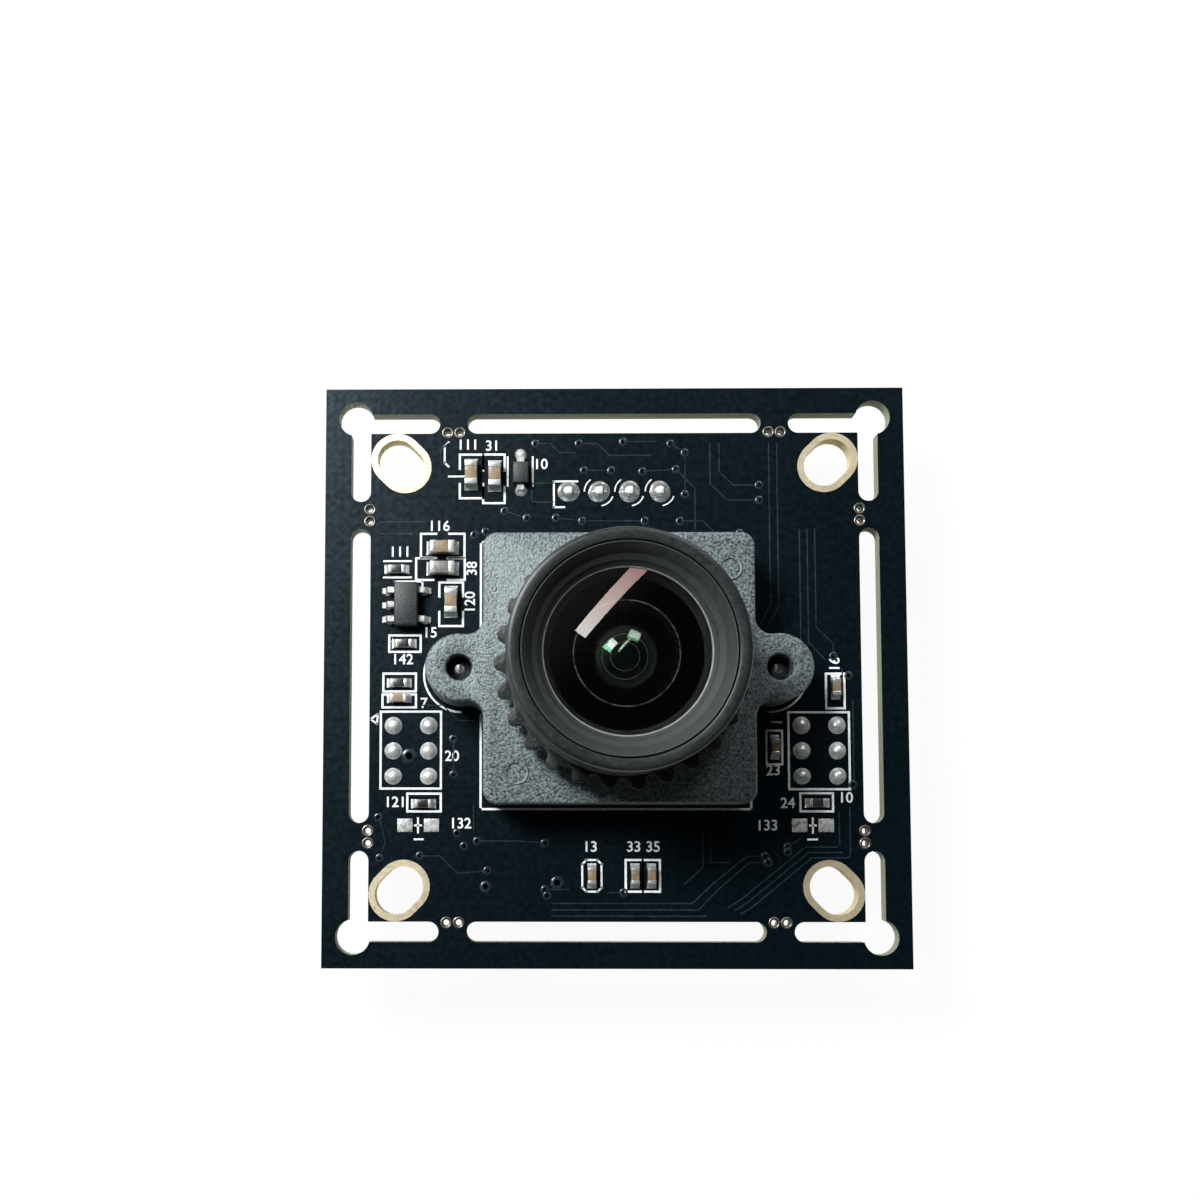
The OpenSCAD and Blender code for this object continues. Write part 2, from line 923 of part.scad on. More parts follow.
circuit_board();
mounting_pads();
lens_holder();
holder_screws();
lens_barrel();
lens_hood();
front_glass();
lens_spacer();
second_glass();
aperture_stop();
third_glass();
rear_glass();
rear_nut();
lock_ring();
infrared_filter();
image_sensor();
sensor_window();
socket_housing();
socket_pins();
socket_solder();
regulator_body();
regulator_legs();
diode_body();
diode_legs();
ferrite_bead();
solder_bumps_left();
solder_bumps_right();
led_pads();
for (i = [0:len(BIG_CAPACITORS) - 1])
    big_capacitor(i);
for (i = [0:len(SMALL_CAPACITORS) - 1])
    small_capacitor(i);
for (i = [0:len(SMALL_RESISTORS) - 1])
    small_resistor(i);
processor_body();
processor_lands();
memory_body();
memory_legs();
crystal_base();
crystal_can();
choke();
for (i = [0:len(BACK_CAPACITORS) - 1])
    back_capacitor(i);
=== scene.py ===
import math

import bpy
from mathutils import Matrix, Vector


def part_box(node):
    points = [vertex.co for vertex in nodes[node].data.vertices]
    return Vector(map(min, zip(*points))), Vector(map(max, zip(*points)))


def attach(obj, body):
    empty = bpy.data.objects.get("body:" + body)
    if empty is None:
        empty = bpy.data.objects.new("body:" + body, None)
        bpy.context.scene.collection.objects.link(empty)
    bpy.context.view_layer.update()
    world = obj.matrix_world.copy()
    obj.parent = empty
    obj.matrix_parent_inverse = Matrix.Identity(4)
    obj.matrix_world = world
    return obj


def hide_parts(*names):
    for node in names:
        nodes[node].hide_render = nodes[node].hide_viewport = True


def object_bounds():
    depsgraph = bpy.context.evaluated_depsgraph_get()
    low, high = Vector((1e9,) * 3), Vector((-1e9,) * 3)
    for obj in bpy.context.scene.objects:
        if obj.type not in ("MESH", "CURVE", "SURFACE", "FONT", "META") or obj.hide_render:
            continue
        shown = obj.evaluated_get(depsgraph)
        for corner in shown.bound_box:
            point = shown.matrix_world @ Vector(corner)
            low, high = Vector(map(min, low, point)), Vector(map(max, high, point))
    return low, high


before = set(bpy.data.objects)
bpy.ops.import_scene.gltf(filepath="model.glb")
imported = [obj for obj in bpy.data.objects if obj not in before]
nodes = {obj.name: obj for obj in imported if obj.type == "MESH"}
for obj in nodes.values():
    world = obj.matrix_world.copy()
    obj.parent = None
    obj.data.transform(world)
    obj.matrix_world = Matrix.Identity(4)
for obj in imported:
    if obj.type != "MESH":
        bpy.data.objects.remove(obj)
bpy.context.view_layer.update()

# ---------------------------------------------------------------- Circuit board
# A routed board of woven glass and resin, 1.2 mm thick, under a satin blue-black
# solder mask. Its sawn walls show the bare laminate, and the walls of its four
# mounting holes are plated.
MM = 0.001
board_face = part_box("circuit_board")[1].z


def ink(red, green, blue):
    """A colour as a screen shows it, made linear for a shader."""
    shares = [c / 255 for c in (red, green, blue)]
    return [*(((c + 0.055) / 1.055) ** 2.4 if c > 10 / 255 else c / 12.92 for c in shares), 1]


def put(tree, kind, plugs, **settings):
    """Adds a shader node and gives its sockets a value or a link."""
    node = tree.nodes.new(kind)
    for key, value in settings.items():
        setattr(node, key, value)
    for key, value in plugs.items():
        if isinstance(value, bpy.types.NodeSocket):
            tree.links.new(value, node.inputs[key])
        else:
            node.inputs[key].default_value = value
    return node


def new_group(name, sockets_in, sockets_out):
    """A shader group with its sockets, and the nodes that bring them in and out."""
    group = bpy.data.node_groups.new(name, "ShaderNodeTree")
    for way, sockets in (("INPUT", sockets_in), ("OUTPUT", sockets_out)):
        for label, kind in sockets:
            group.interface.new_socket(label, in_out=way, socket_type="NodeSocket" + kind)
    return group, group.nodes.new("NodeGroupInput").outputs, group.nodes.new("NodeGroupOutput")


# Fine grain: a mottled colour and roughness with a shallow relief
grain, given, wanted = new_group(
    "fine_grain",
    [("Colour", "Color"), ("Shade", "Color"), ("Scale", "Float"), ("Relief", "Float"),
     ("Smoothest", "Float"), ("Roughest", "Float"), ("Clouds", "Float")],
    [("Colour", "Color"), ("Roughness", "Float"), ("Normal", "Vector")])
spot = put(grain, "ShaderNodeTexCoord", {}).outputs["Object"]
speckle = put(grain, "ShaderNodeTexNoise", {"Vector": spot, "Scale": given["Scale"], "Detail": 3.0})
wide_scale = put(grain, "ShaderNodeMath", {0: given["Scale"], 1: 0.07}, operation="MULTIPLY")
mottle = put(grain, "ShaderNodeTexNoise", {"Vector": spot, "Scale": wide_scale.outputs[0], "Detail": 4.0})
cloud = put(grain, "ShaderNodeMath", {0: mottle.outputs[0], 1: -0.5}, operation="ADD")
blend = put(grain, "ShaderNodeMath", {0: cloud.outputs[0], 1: given["Clouds"], 2: speckle.outputs[0]},
            operation="MULTIPLY_ADD")
spread = put(grain, "ShaderNodeMapRange", {"Value": blend.outputs[0], "From Min": 0.3, "From Max": 0.7})
shaded = put(grain, "ShaderNodeMix", {"Factor": spread.outputs[0], 6: given["Colour"], 7: given["Shade"]},
             data_type="RGBA")
dulled = put(grain, "ShaderNodeMapRange", {"Value": spread.outputs[0], "To Min": given["Smoothest"],
                                           "To Max": given["Roughest"]})
pitted = put(grain, "ShaderNodeBump", {"Height": speckle.outputs[0], "Distance": given["Relief"]})
for label, socket in (("Colour", shaded.outputs[2]), ("Roughness", dulled.outputs[0]),
                      ("Normal", pitted.outputs[0])):
    grain.links.new(socket, wanted.inputs[label])


def finish(name, colour, shade, scale, relief, smooth, rough, clouds=0.6, **shader_values):
    """A material whose colour, roughness and relief come from the fine grain."""
    material = bpy.data.materials.new(name)
    material.use_nodes = True
    tree = material.node_tree
    shader = tree.nodes["Principled BSDF"]
    surface = put(tree, "ShaderNodeGroup", {}, node_tree=grain)
    for label, value in (("Colour", colour), ("Shade", shade), ("Scale", scale), ("Relief", relief),
                         ("Smoothest", smooth), ("Roughest", rough), ("Clouds", clouds)):
        surface.inputs[label].default_value = value
    tree.links.new(surface.outputs["Colour"], shader.inputs["Base Color"])
    tree.links.new(surface.outputs["Roughness"], shader.inputs["Roughness"])
    tree.links.new(surface.outputs["Normal"], shader.inputs["Normal"])
    for label, value in shader_values.items():
        shader.inputs[label.replace("_", " ")].default_value = value
    return material


def dress(material, *names):
    """Gives CAD nodes a material."""
    for name in names:
        nodes[name].data.materials.clear()
        nodes[name].data.materials.append(material)


mask = finish("solder_mask", ink(2, 10, 15), ink(5, 15, 21), 2600.0, 0.000002, 0.22, 0.28, 0.3,
              Specular_IOR_Level=0.42, Specular_Tint=ink(212, 240, 255))
tree = mask.node_tree
shader = tree.nodes["Principled BSDF"]
face_colour = shader.inputs["Base Color"].links[0].from_socket
face_rough = shader.inputs["Roughness"].links[0].from_socket
place = put(tree, "ShaderNodeTexCoord", {})
steep = put(tree, "ShaderNodeSeparateXYZ", {0: place.outputs["Normal"]})
upright = put(tree, "ShaderNodeMath", {0: steep.outputs[2]}, operation="ABSOLUTE")
wall = put(tree, "ShaderNodeMath", {0: upright.outputs[0], 1: 0.5}, operation="LESS_THAN")
layers = put(tree, "ShaderNodeTexWave", {
    "Vector": place.outputs["Object"], "Scale": 1500.0, "Distortion": 1.5, "Detail": 2.0},
    bands_direction="Z")
laminate = put(tree, "ShaderNodeMix", {
    "Factor": layers.outputs[1], 6: ink(124, 127, 104), 7: ink(168, 170, 150)}, data_type="RGBA")
across = put(tree, "ShaderNodeVectorMath", {0: place.outputs["Object"]}, operation="ABSOLUTE")
hole_at = 14 * MM
plating_reach = 1.95 * MM
from_hole = put(tree, "ShaderNodeVectorMath", {0: across.outputs[0], 1: (hole_at, hole_at, board_face / 2)},
                operation="DISTANCE")
plated = put(tree, "ShaderNodeMath", {0: from_hole.outputs["Value"], 1: plating_reach}, operation="LESS_THAN")
walls = put(tree, "ShaderNodeMix", {
    "Factor": plated.outputs[0], 6: laminate.outputs[2], 7: ink(216, 203, 165)}, data_type="RGBA")
both = put(tree, "ShaderNodeMix", {"Factor": wall.outputs[0], 6: face_colour, 7: walls.outputs[2]},
           data_type="RGBA")
tree.links.new(both.outputs[2], shader.inputs["Base Color"])
matte = put(tree, "ShaderNodeMix", {"Factor": wall.outputs[0], 2: face_rough, 3: 0.8})
tree.links.new(matte.outputs[0], shader.inputs["Roughness"])
# The weave of the glass shows faintly through the mask
warp = put(tree, "ShaderNodeTexWave", {"Vector": place.outputs["Object"], "Scale": 620.0, "Distortion": 0.6},
           bands_direction="X")
weft = put(tree, "ShaderNodeTexWave", {"Vector": place.outputs["Object"], "Scale": 620.0, "Distortion": 0.6},
           bands_direction="Y")
weave = put(tree, "ShaderNodeMath", {0: warp.outputs[1], 1: weft.outputs[1]}, operation="MULTIPLY")
fine_normal = shader.inputs["Normal"].links[0].from_socket
woven = put(tree, "ShaderNodeBump", {
    "Height": weave.outputs[0], "Distance": 0.0000012, "Normal": fine_normal})
tree.links.new(woven.outputs[0], shader.inputs["Normal"])
dress(mask, "circuit_board")

# ---------------------------------------------------------------- Copper under the mask
# Etched copper lines and plated through-holes lie under the mask and stand up
# from the laminate by the copper's thickness. The mask dips into each hole.


def clear():
    """Leaves nothing selected."""
    bpy.ops.object.select_all(action="DESELECT")


def trail(points):
    """A chain of edges through points in mm, drawn by extruding one point."""
    clear()
    bpy.ops.mesh.primitive_plane_add(size=MM, location=[c * MM for c in points[0]])
    bpy.ops.object.mode_set(mode="EDIT")
    bpy.ops.mesh.merge(type="CENTER")
    for here, there in zip(points, points[1:]):
        step = [(b - a) * MM for a, b in zip(here, there)]
        bpy.ops.mesh.extrude_vertices_move(TRANSFORM_OT_translate={"value": step})
    bpy.ops.object.mode_set(mode="OBJECT")
    return bpy.context.object


def join(name, pieces):
    """One piece out of several, with its place in its mesh."""
    clear()
    for piece in pieces:
        piece.select_set(True)
    bpy.context.view_layer.objects.active = pieces[0]
    if len(pieces) > 1:
        bpy.ops.object.join()
    bpy.ops.object.transform_apply(location=True, rotation=True, scale=True)
    piece = bpy.context.object
    piece.name = piece.data.name = name
    return piece


def turn(name, profile, steps=96, smooth=32):
    """A solid of revolution about the Z axis. The profile is (radius, height) in mm."""
    piece = trail([(r, 0, z) for r, z in profile])
    bpy.ops.object.transform_apply(location=True, rotation=True, scale=True)
    bpy.ops.object.mode_set(mode="EDIT")
    bpy.ops.mesh.select_all(action="SELECT")
    bpy.ops.mesh.spin(steps=steps, angle=math.tau, center=(0, 0, 0), axis=(0, 0, 1))
    bpy.ops.mesh.select_all(action="SELECT")
    bpy.ops.mesh.remove_doubles(threshold=0.000002)
    bpy.ops.mesh.normals_make_consistent(inside=False)
    bpy.ops.object.mode_set(mode="OBJECT")
    bpy.ops.object.shade_smooth_by_angle(angle=math.radians(smooth))
    piece.name = piece.data.name = name
    return piece


def repeat(name, pattern, places):
    """Copies a pattern to (x, y, z, turn in degrees, size) in mm, and joins the copies."""
    copies = []
    for x, y, z, angle, size in places:
        copy = pattern.copy()
        copy.data = pattern.data.copy()
        bpy.context.collection.objects.link(copy)
        copy.location = (x * MM, y * MM, z * MM)
        copy.rotation_euler.z = math.radians(angle)
        copy.scale = (size, size, size) if isinstance(size, (int, float)) else size
        copies.append(copy)
    bpy.data.objects.remove(pattern)
    return join(name, copies)


def wear(piece, material, body="board"):
    """Gives a new piece its material and the body it rides on."""
    if material:
        piece.data.materials.clear()
        piece.data.materials.append(material)
    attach(piece, body)
    return piece


top = board_face / MM
TRACKS = [
    [(10.16, 15.3), (10.16, 4.6), (8.9, 2.2)], [(10.69, 15.3), (10.69, 4.5), (9.0, 1.4)],
    [(7.2, -15.1), (8.13, -14.5), (12.2, -11.2), (14.3, -11.2)],
    [(7.6, -15.3), (8.4, -14.8), (12.4, -11.55), (14.6, -11.55)],
    [(8.0, -15.5), (8.7, -15.1), (12.6, -11.9), (14.9, -11.9), (15.1, -11.7), (15.1, -8.6)],
    [(14.41, -8.9), (14.41, -11.1)], [(14.75, -1.6), (14.75, 0.4)], [(15.4, -1.7), (15.4, -6.9)],
    [(-4.2, -14.83), (4.9, -14.83)], [(-4.2, -15.24), (5.3, -15.24)], [(-4.2, -15.64), (5.8, -15.64)],
    [(4.9, -14.83), (6.2, -13.6), (8.4, -11.8), (9.6, -11.8)],
    [(5.3, -15.24), (6.6, -13.9), (8.6, -12.2), (9.8, -12.2)],
    [(-5.16, 15.31), (-4.2, 15.31), (-3.6, 14.7), (-2.5, 14.7)],
    [(-2.31, 15.3), (-1.1, 15.3), (-0.3, 14.5), (2.4, 14.5)],
    [(0.61, 15.42), (2.8, 15.42)], [(3.73, 15.28), (4.66, 14.68), (4.66, 11.9)],
    [(-1.97, 13.51), (-0.18, 13.5)],
    [(1.87, 13.43), (4.06, 13.56), (5.3, 12.3), (5.3, 9.6)], [(-3.82, 10.34), (-2.1, 10.14), (2.0, 10.13)],
    [(4.31, 10.12), (5.8, 10.12), (6.6, 9.3), (8.2, 9.3)], [(-7.2, 10.81), (-5.74, 10.34)],
    [(-9.18, 9.23), (-8.45, 9.43)],
    [(-10.87, 15.39), (-11.4, 14.9), (-11.4, 13.87)], [(6.3, 15.3), (6.3, 12.6), (7.4, 11.5), (9.5, 11.5)],
    [(6.9, 15.3), (6.9, 13.4), (7.8, 12.5), (9.5, 12.5)], [(-15.4, 9.3), (-13.2, 9.3)],
    [(-15.4, 10.1), (-12.6, 10.1)],
    [(-12.6, -2.0), (-11.2, -2.0), (-10.2, -3.0), (-9.1, -3.0)], [(-10.5, -4.2), (-10.5, -6.5)],
    [(-9.2, -8.4), (-9.2, -10.3)], [(-12.67, -11.78), (-11.4, -11.78), (-10.2, -12.9), (-8.3, -12.73)],
    [(-15.3, -9.3), (-14.9, -10.9), (-15.28, -11.91)], [(-8.96, -10.82), (-6.2, -10.82), (-4.59, -10.95)],
    [(-4.58, -13.94), (-3.0, -13.94)], [(0.49, -14.13), (-0.5, -14.13)], [(11.07, -11.19), (12.0, -10.6)],
    [(5.6, -9.9), (5.6, -12.5), (4.4, -13.6)], [(6.1, -9.9), (6.1, -12.2), (7.3, -12.2)],
    [(12.1, 9.6), (12.1, 1.9)],
    [(12.6, 9.6), (12.6, 2.1), (13.7, 0.9)], [(13.1, 9.6), (13.1, 3.1), (14.2, 2.0), (14.2, 1.2)],
    [(-5.42, 12.66), (-3.95, 12.66)], [(-5.42, 11.4), (-3.95, 11.4)], [(-5.42, 11.4), (-5.42, 12.66)],
]
track_r = 0.07
track_depth = 0.025
tracks = join("copper_tracks", [trail([(x, y, top - track_depth) for x, y in line]) for line in TRACKS])
clear()
tracks.select_set(True)
bpy.context.view_layer.objects.active = tracks
bpy.ops.object.convert(target="CURVE")
tracks = bpy.context.object
tracks.data.bevel_depth = track_r * MM
tracks.data.bevel_resolution = 1
bpy.ops.object.convert(target="MESH")
bpy.ops.object.shade_smooth_by_angle(angle=math.radians(50))
tracks = bpy.context.object
tracks.name = tracks.data.name = "copper_tracks"
raised_mask = finish("mask_over_copper", ink(24, 36, 42), ink(38, 51, 57), 2600.0, 0.000003, 0.18, 0.28)
wear(tracks, raised_mask)

VIAS = [
    (-5.16, 15.31), (-2.31, 15.3), (0.61, 15.42), (3.73, 15.28), (4.66, 14.68), (-1.97, 13.51), (-0.18, 13.5),
    (1.87, 13.43), (4.06, 13.56), (4.65, 11.9), (-3.82, 10.34), (-2.1, 10.14), (2.0, 10.13), (4.31, 10.12),
    (-7.2, 10.81), (-5.74, 10.34), (-9.18, 9.23), (-8.45, 9.43), (-10.52, -4.2), (-10.5, -6.52),
    (-15.38, -9.29), (-15.28, -11.91), (-12.67, -11.78), (-10.27, -10.31), (-9.81, -11.14),
    (-8.96, -10.82), (-4.59, -10.95),
    (-4.58, -13.94), (-4.45, -14.32), (0.49, -14.13), (-8.3, -12.73), (15.15, -0.08), (11.07, -11.19),
    (11.07, -11.51), (15.33, -7.17), (9.5, 11.5), (9.5, 12.5), (8.2, 9.3), (14.2, 1.2), (9.6, -11.8),
    (9.8, -12.2),
]
WIDE_VIAS = [(-3.8, -13.49, 1.5), (-8.42, -13.75, 1.3), (-13.4, -5.3, 1.7)]
via = turn("via", [(0, 0.0), (0.12, 0.0), (0.14, 0.04), (0.25, 0.045), (0.31, 0.0), (0.31, -0.03),
                   (0, -0.03)], 20, 60)
vias = repeat("vias", via, [(x, y, top, 0, size) for x, y, size in [(x, y, 1) for x, y in VIAS] + WIDE_VIAS])
wear(vias, raised_mask)

# ---------------------------------------------------------------- Plated rings
# Gold-plated copper rings round the mounting holes, and tinned rims round the
# perforation holes where the rim snaps off.
gold = finish("gold_plating", ink(224, 213, 184), ink(204, 191, 156), 5200.0, 0.0000025, 0.3, 0.5,
              Metallic=0.7)
dress(gold, "mounting_pads")
rim = turn("rim", [(0.2, -0.6), (0.2, -0.05), (0.24, 0.02), (0.3, 0.045), (0.36, 0.045), (0.4, 0.0),
                   (0.4, -0.02), (0.268, -0.6), (0.2, -0.6)], 24, 50)
bridge_at = 10.55
bite_step = 0.4
bite_line = 16.054
rim_places = []
for quarter in range(4):
    for side in (-1, 1):
        for step in (-bite_step, bite_step):
            x, y = side * bridge_at + step, bite_line
            for _ in range(quarter):
                x, y = -y, x
            rim_places.append((x, y, top, 0, 1))
rims = repeat("perforation_rims", rim, rim_places)
tin = finish("tinned_copper", ink(128, 126, 112), ink(84, 84, 78), 4200.0, 0.000006, 0.25, 0.45, Metallic=0.8)
wear(rims, tin)

# ---------------------------------------------------------------- Lens holder
# Moulded in black glass-filled plastic with a spark-eroded grain, and screwed to
# the board from behind. Round marks show where the ejector pins stood.


def soften(name, node, width, segments=2, angle=35):
    """A copy of a CAD node with its edges rounded, which stands for it."""
    piece = bpy.data.objects.new(name, nodes[node].data.copy())
    piece.data.name = name
    bpy.context.collection.objects.link(piece)
    clear()
    piece.select_set(True)
    bpy.context.view_layer.objects.active = piece
    bpy.ops.object.mode_set(mode="EDIT")
    bpy.ops.mesh.select_all(action="SELECT")
    bpy.ops.mesh.remove_doubles(threshold=0.000001)
    bpy.ops.mesh.dissolve_limited(angle_limit=math.radians(1))
    bpy.ops.object.mode_set(mode="OBJECT")
    bevel = piece.modifiers.new("rounding", "BEVEL")
    bevel.width = width * MM
    bevel.segments = segments
    bevel.limit_method = "ANGLE"
    bevel.angle_limit = math.radians(angle)
    bpy.ops.object.modifier_apply(modifier=bevel.name)
    bpy.ops.object.shade_smooth_by_angle(angle=math.radians(angle))
    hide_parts(node)
    return piece


holder_plastic = finish("holder_plastic", ink(0, 1, 2), ink(122, 134, 137), 6600.0, 0.00005, 0.34, 0.5, 0.06,
                        IOR=1.5, Specular_IOR_Level=0.75, Specular_Tint=ink(236, 250, 250))
holder = soften("holder_moulding", "lens_holder", 0.16, 3)
wear(holder, holder_plastic)
collar_h = 1.0
flange_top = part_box("lens_holder")[1].z / MM - collar_h
mark = turn("ejector_mark", [(0.56, -0.05), (0.6, 0.09), (0.72, 0.11), (0.8, -0.05), (0.56, -0.05)], 40, 60)
marks = repeat("ejector_marks", mark, [(6.95, 6.2, flange_top, 0, 1), (-6.4, -6.6, flange_top - 0.02, 0, 1)])
wear(marks, holder_plastic)

# ---------------------------------------------------------------- Holder screws
# Self-tapping screws of plated steel. They come through the board from behind,
# and their tips are seen deep in the ears.


# Turning marks: rings that a lathe tool leaves, in height and along the radius
lathe, given, wanted = new_group(
    "turning_marks", [("Pitch", "Float"), ("Relief", "Float"), ("Normal", "Vector")],
    [("Normal", "Vector")])
spot = put(lathe, "ShaderNodeTexCoord", {}).outputs["Object"]
flat = put(lathe, "ShaderNodeSeparateXYZ", {0: spot})
round_x = put(lathe, "ShaderNodeMath", {0: flat.outputs[0], 1: flat.outputs[0]}, operation="MULTIPLY")
round_y = put(lathe, "ShaderNodeMath", {0: flat.outputs[1], 1: flat.outputs[1]}, operation="MULTIPLY")
squared = put(lathe, "ShaderNodeMath", {0: round_x.outputs[0], 1: round_y.outputs[0]}, operation="ADD")
radius = put(lathe, "ShaderNodeMath", {0: squared.outputs[0]}, operation="SQRT")
path = put(lathe, "ShaderNodeMath", {0: radius.outputs[0], 1: flat.outputs[2]}, operation="ADD")
groove = put(lathe, "ShaderNodeMath", {0: path.outputs[0], 1: given["Pitch"]}, operation="DIVIDE")
wobble = put(lathe, "ShaderNodeMath", {0: groove.outputs[0], 1: math.tau}, operation="MULTIPLY")
ridge = put(lathe, "ShaderNodeMath", {0: wobble.outputs[0]}, operation="SINE")
cut = put(lathe, "ShaderNodeBump", {"Height": ridge.outputs[0], "Distance": given["Relief"],
                                    "Normal": given["Normal"]})
lathe.links.new(cut.outputs[0], wanted.inputs["Normal"])


def turned_finish(material, pitch, relief):
    """Lays turning marks over a material's grain. The pitch and the relief are in mm."""
    tree = material.node_tree
    shader = tree.nodes["Principled BSDF"]
    marks = put(tree, "ShaderNodeGroup", {}, node_tree=lathe)
    marks.inputs["Pitch"].default_value = pitch * MM
    marks.inputs["Relief"].default_value = relief * MM
    tree.links.new(shader.inputs["Normal"].links[0].from_socket, marks.inputs["Normal"])
    tree.links.new(marks.outputs["Normal"], shader.inputs["Normal"])


steel = finish("plated_steel", ink(140, 142, 145), ink(112, 114, 118), 3800.0, 0.000004, 0.25, 0.45,
               Metallic=0.9)
turned_finish(steel, 0.45, 0.012)
wear(soften("screws_rounded", "holder_screws", 0.08), steel)

# ---------------------------------------------------------------- Image sensor and filter
# The sensor package sits on the board under its window. The infrared filter is
# bonded under the holder's shelf.
sensor = finish("sensor_package", ink(38, 44, 50), ink(52, 60, 66), 3600.0, 0.000003, 0.25, 0.4)
wear(soften("sensor_chip", "image_sensor", 0.06), sensor)
array = finish("sensor_window", ink(20, 34, 44), ink(48, 40, 66), 900.0, 0.0000005, 0.05, 0.12,
               Coat_Weight=1.0)
tree = array.node_tree
shader = tree.nodes["Principled BSDF"]
lines = put(tree, "ShaderNodeTexBrick", {
    "Vector": put(tree, "ShaderNodeTexCoord", {}).outputs["Object"], "Scale": 9000.0, "Mortar Size": 0.03,
    "Color1": ink(24, 44, 56), "Color2": ink(40, 34, 60), "Mortar": ink(10, 14, 18)}, offset=0.0)
tree.links.new(lines.outputs[0], shader.inputs["Base Color"])
dress(array, "sensor_window")
filter_glass = finish("filter_glass", ink(150, 205, 210), ink(170, 214, 220), 700.0, 0.0000003, 0.0, 0.03,
                      IOR=1.52, Transmission_Weight=1.0)
dress(filter_glass, "infrared_filter")

# ---------------------------------------------------------------- Lens barrel
# Turned from aluminium and anodised black: a threaded tail of 0.5 mm pitch that
# screws into the holder, and a plain head with a recess for the hood.
anodised = finish("black_anodising", ink(25, 30, 31), ink(36, 41, 42), 3000.0, 0.000003, 0.3, 0.42,
                  Metallic=0.25)
turned_finish(anodised, 0.09, 0.0012)
back, lens_top = (corner.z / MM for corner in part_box("lens_barrel"))
head_low = lens_top - 4.6
thread_pitch = 0.5
thread = []
height = back + 0.35
while height < head_low - 0.3:
    thread += [(5.72, height), (5.74, height + 0.06), (5.99, height + 0.22), (5.99, height + 0.28),
               (5.74, height + 0.44)]
    height += thread_pitch
barrel = turn("barrel_turned", [
    (3.6, back), (5.6, back), (5.72, back + 0.12), *thread, (5.72, head_low - 0.05), (5.75, head_low),
    (6.72, head_low), (6.9, head_low + 0.05), (6.97, head_low + 0.14), (7.0, head_low + 0.26),
    (7.0, lens_top - 0.3), (6.98, lens_top - 0.18), (6.92, lens_top - 0.07), (6.82, lens_top - 0.015),
    (6.7, lens_top), (6.3, lens_top),
    (6.24, lens_top - 0.02), (6.22, lens_top - 0.06), (6.22, lens_top - 1.4), (5.4, lens_top - 1.4),
    (5.4, lens_top - 3.02), (4.4, lens_top - 3.02), (4.4, lens_top - 6.92), (3.05, lens_top - 6.92),
    (3.05, lens_top - 7.22), (3.6, lens_top - 7.22), (3.6, back)], 128)
wear(barrel, anodised, "lens")
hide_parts("lens_barrel")

# ---------------------------------------------------------------- Lens hood
# A matte black ring screwed into the head. Its bore widens in three shallow cones
# that trap stray light. Its foot is a lip above the front glass, coloured pale as a painted highlight.
hood_black = finish("hood_anodising", ink(38, 42, 42), ink(48, 52, 52), 3400.0, 0.000004, 0.5, 0.65)
turned_finish(hood_black, 0.08, 0.002)
hood_foot = lens_top - 1.4
lip_r = 4.92
bore = [(r, hood_foot + rise) for r, rise in (
    (4.83, 0.03), (4.91, 0.1), (5.2, 0.42), (5.21, 0.46), (5.55, 0.78), (5.56, 0.82), (5.98, 1.26),
    (6.03, 1.34), (6.06, 1.385))]
hood = turn("hood_turned", [(6.15, hood_foot), (4.85, hood_foot), *bore, (6.1, lens_top),
                            (6.15, lens_top - 0.05), (6.15, hood_foot)], 128)
wear(hood, hood_black, "lens")


def paint_faces(piece, material, test):
    """Gives another material to the faces whose middle and normal pass a test."""
    piece.data.materials.append(material)
    last = len(piece.data.materials) - 1
    for face in piece.data.polygons:
        if test(face.center / MM, face.normal):
            face.material_index = last


# Painted highlight: the lip at the hood's foot is coloured pale so that it shows as a thin lit edge.
pale_lip_highlight = finish("hood_lip_highlight", ink(150, 160, 156), ink(112, 122, 118), 3400.0, 0.000004, 0.4, 0.55,
                  Metallic=0.3)
paint_faces(hood, pale_lip_highlight, lambda middle, normal: middle.xy.length < lip_r and normal.z > 0.2)
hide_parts("lens_hood")

# ---------------------------------------------------------------- Glasses
# Five ground glasses stacked on their shoulders with a spacer and a stop. Each
# face has a thin coating that leaves a faint coloured glint.


def arc(r, z, rise, count=14):
    """The profile of a dome from its top at the axis to its rim (r, z)."""
    ball = (r * r + rise * rise) / (2 * abs(rise))
    middle = z + rise - math.copysign(ball, rise)
    return [(r * i / count, middle + math.copysign(math.sqrt(ball * ball - (r * i / count) ** 2), rise))
            for i in range(count + 1)]


def glass(name, tint, index, glint):
    """Clear coated glass. The smudges change only its roughness."""
    return finish(name, tint, tint, 500.0, 0.0, 0.0, 0.012, IOR=index, Transmission_Weight=1.0,
                  Specular_Tint=glint)


front_glass = glass("front_coating", ink(232, 240, 240), 1.72, ink(255, 246, 242))
inner_glass = glass("inner_coating", ink(196, 222, 204), 1.7, ink(170, 255, 190))
edge_black = finish("edge_black", ink(9, 10, 11), ink(15, 16, 17), 3000.0, 0.000003, 0.6, 0.75)
# Painted highlight: a pale material that glows faintly, though it is no lamp, for the thin bright rings in
# the glasses.
painted_glow_ring = finish("painted_glow_ring", ink(190, 196, 194), ink(140, 146, 144), 6000.0, 0.00001, 0.45, 0.6,
                     Emission_Color=ink(170, 178, 172), Emission_Strength=0.3)
rear_glass = glass("rear_coating", ink(190, 190, 214), 1.8, ink(150, 160, 255))
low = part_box("front_glass")[0].z / MM
hollow_r = 2.95
seat_r = 3.02
shoulder_h = 1.5
front = turn("front_lens", [
    *arc(hollow_r, low, 1.0), (seat_r, low), (5.3, low), (5.35, low + 0.05), (5.35, low + shoulder_h - 0.04),
    *reversed(arc(5.3, low + shoulder_h, 0.6, 20))], 128, 30)
wear(front, front_glass, "lens")
paint_faces(front, edge_black, lambda middle, normal: middle.xy.length > seat_r and
            middle.z < low + shoulder_h - 0.05)
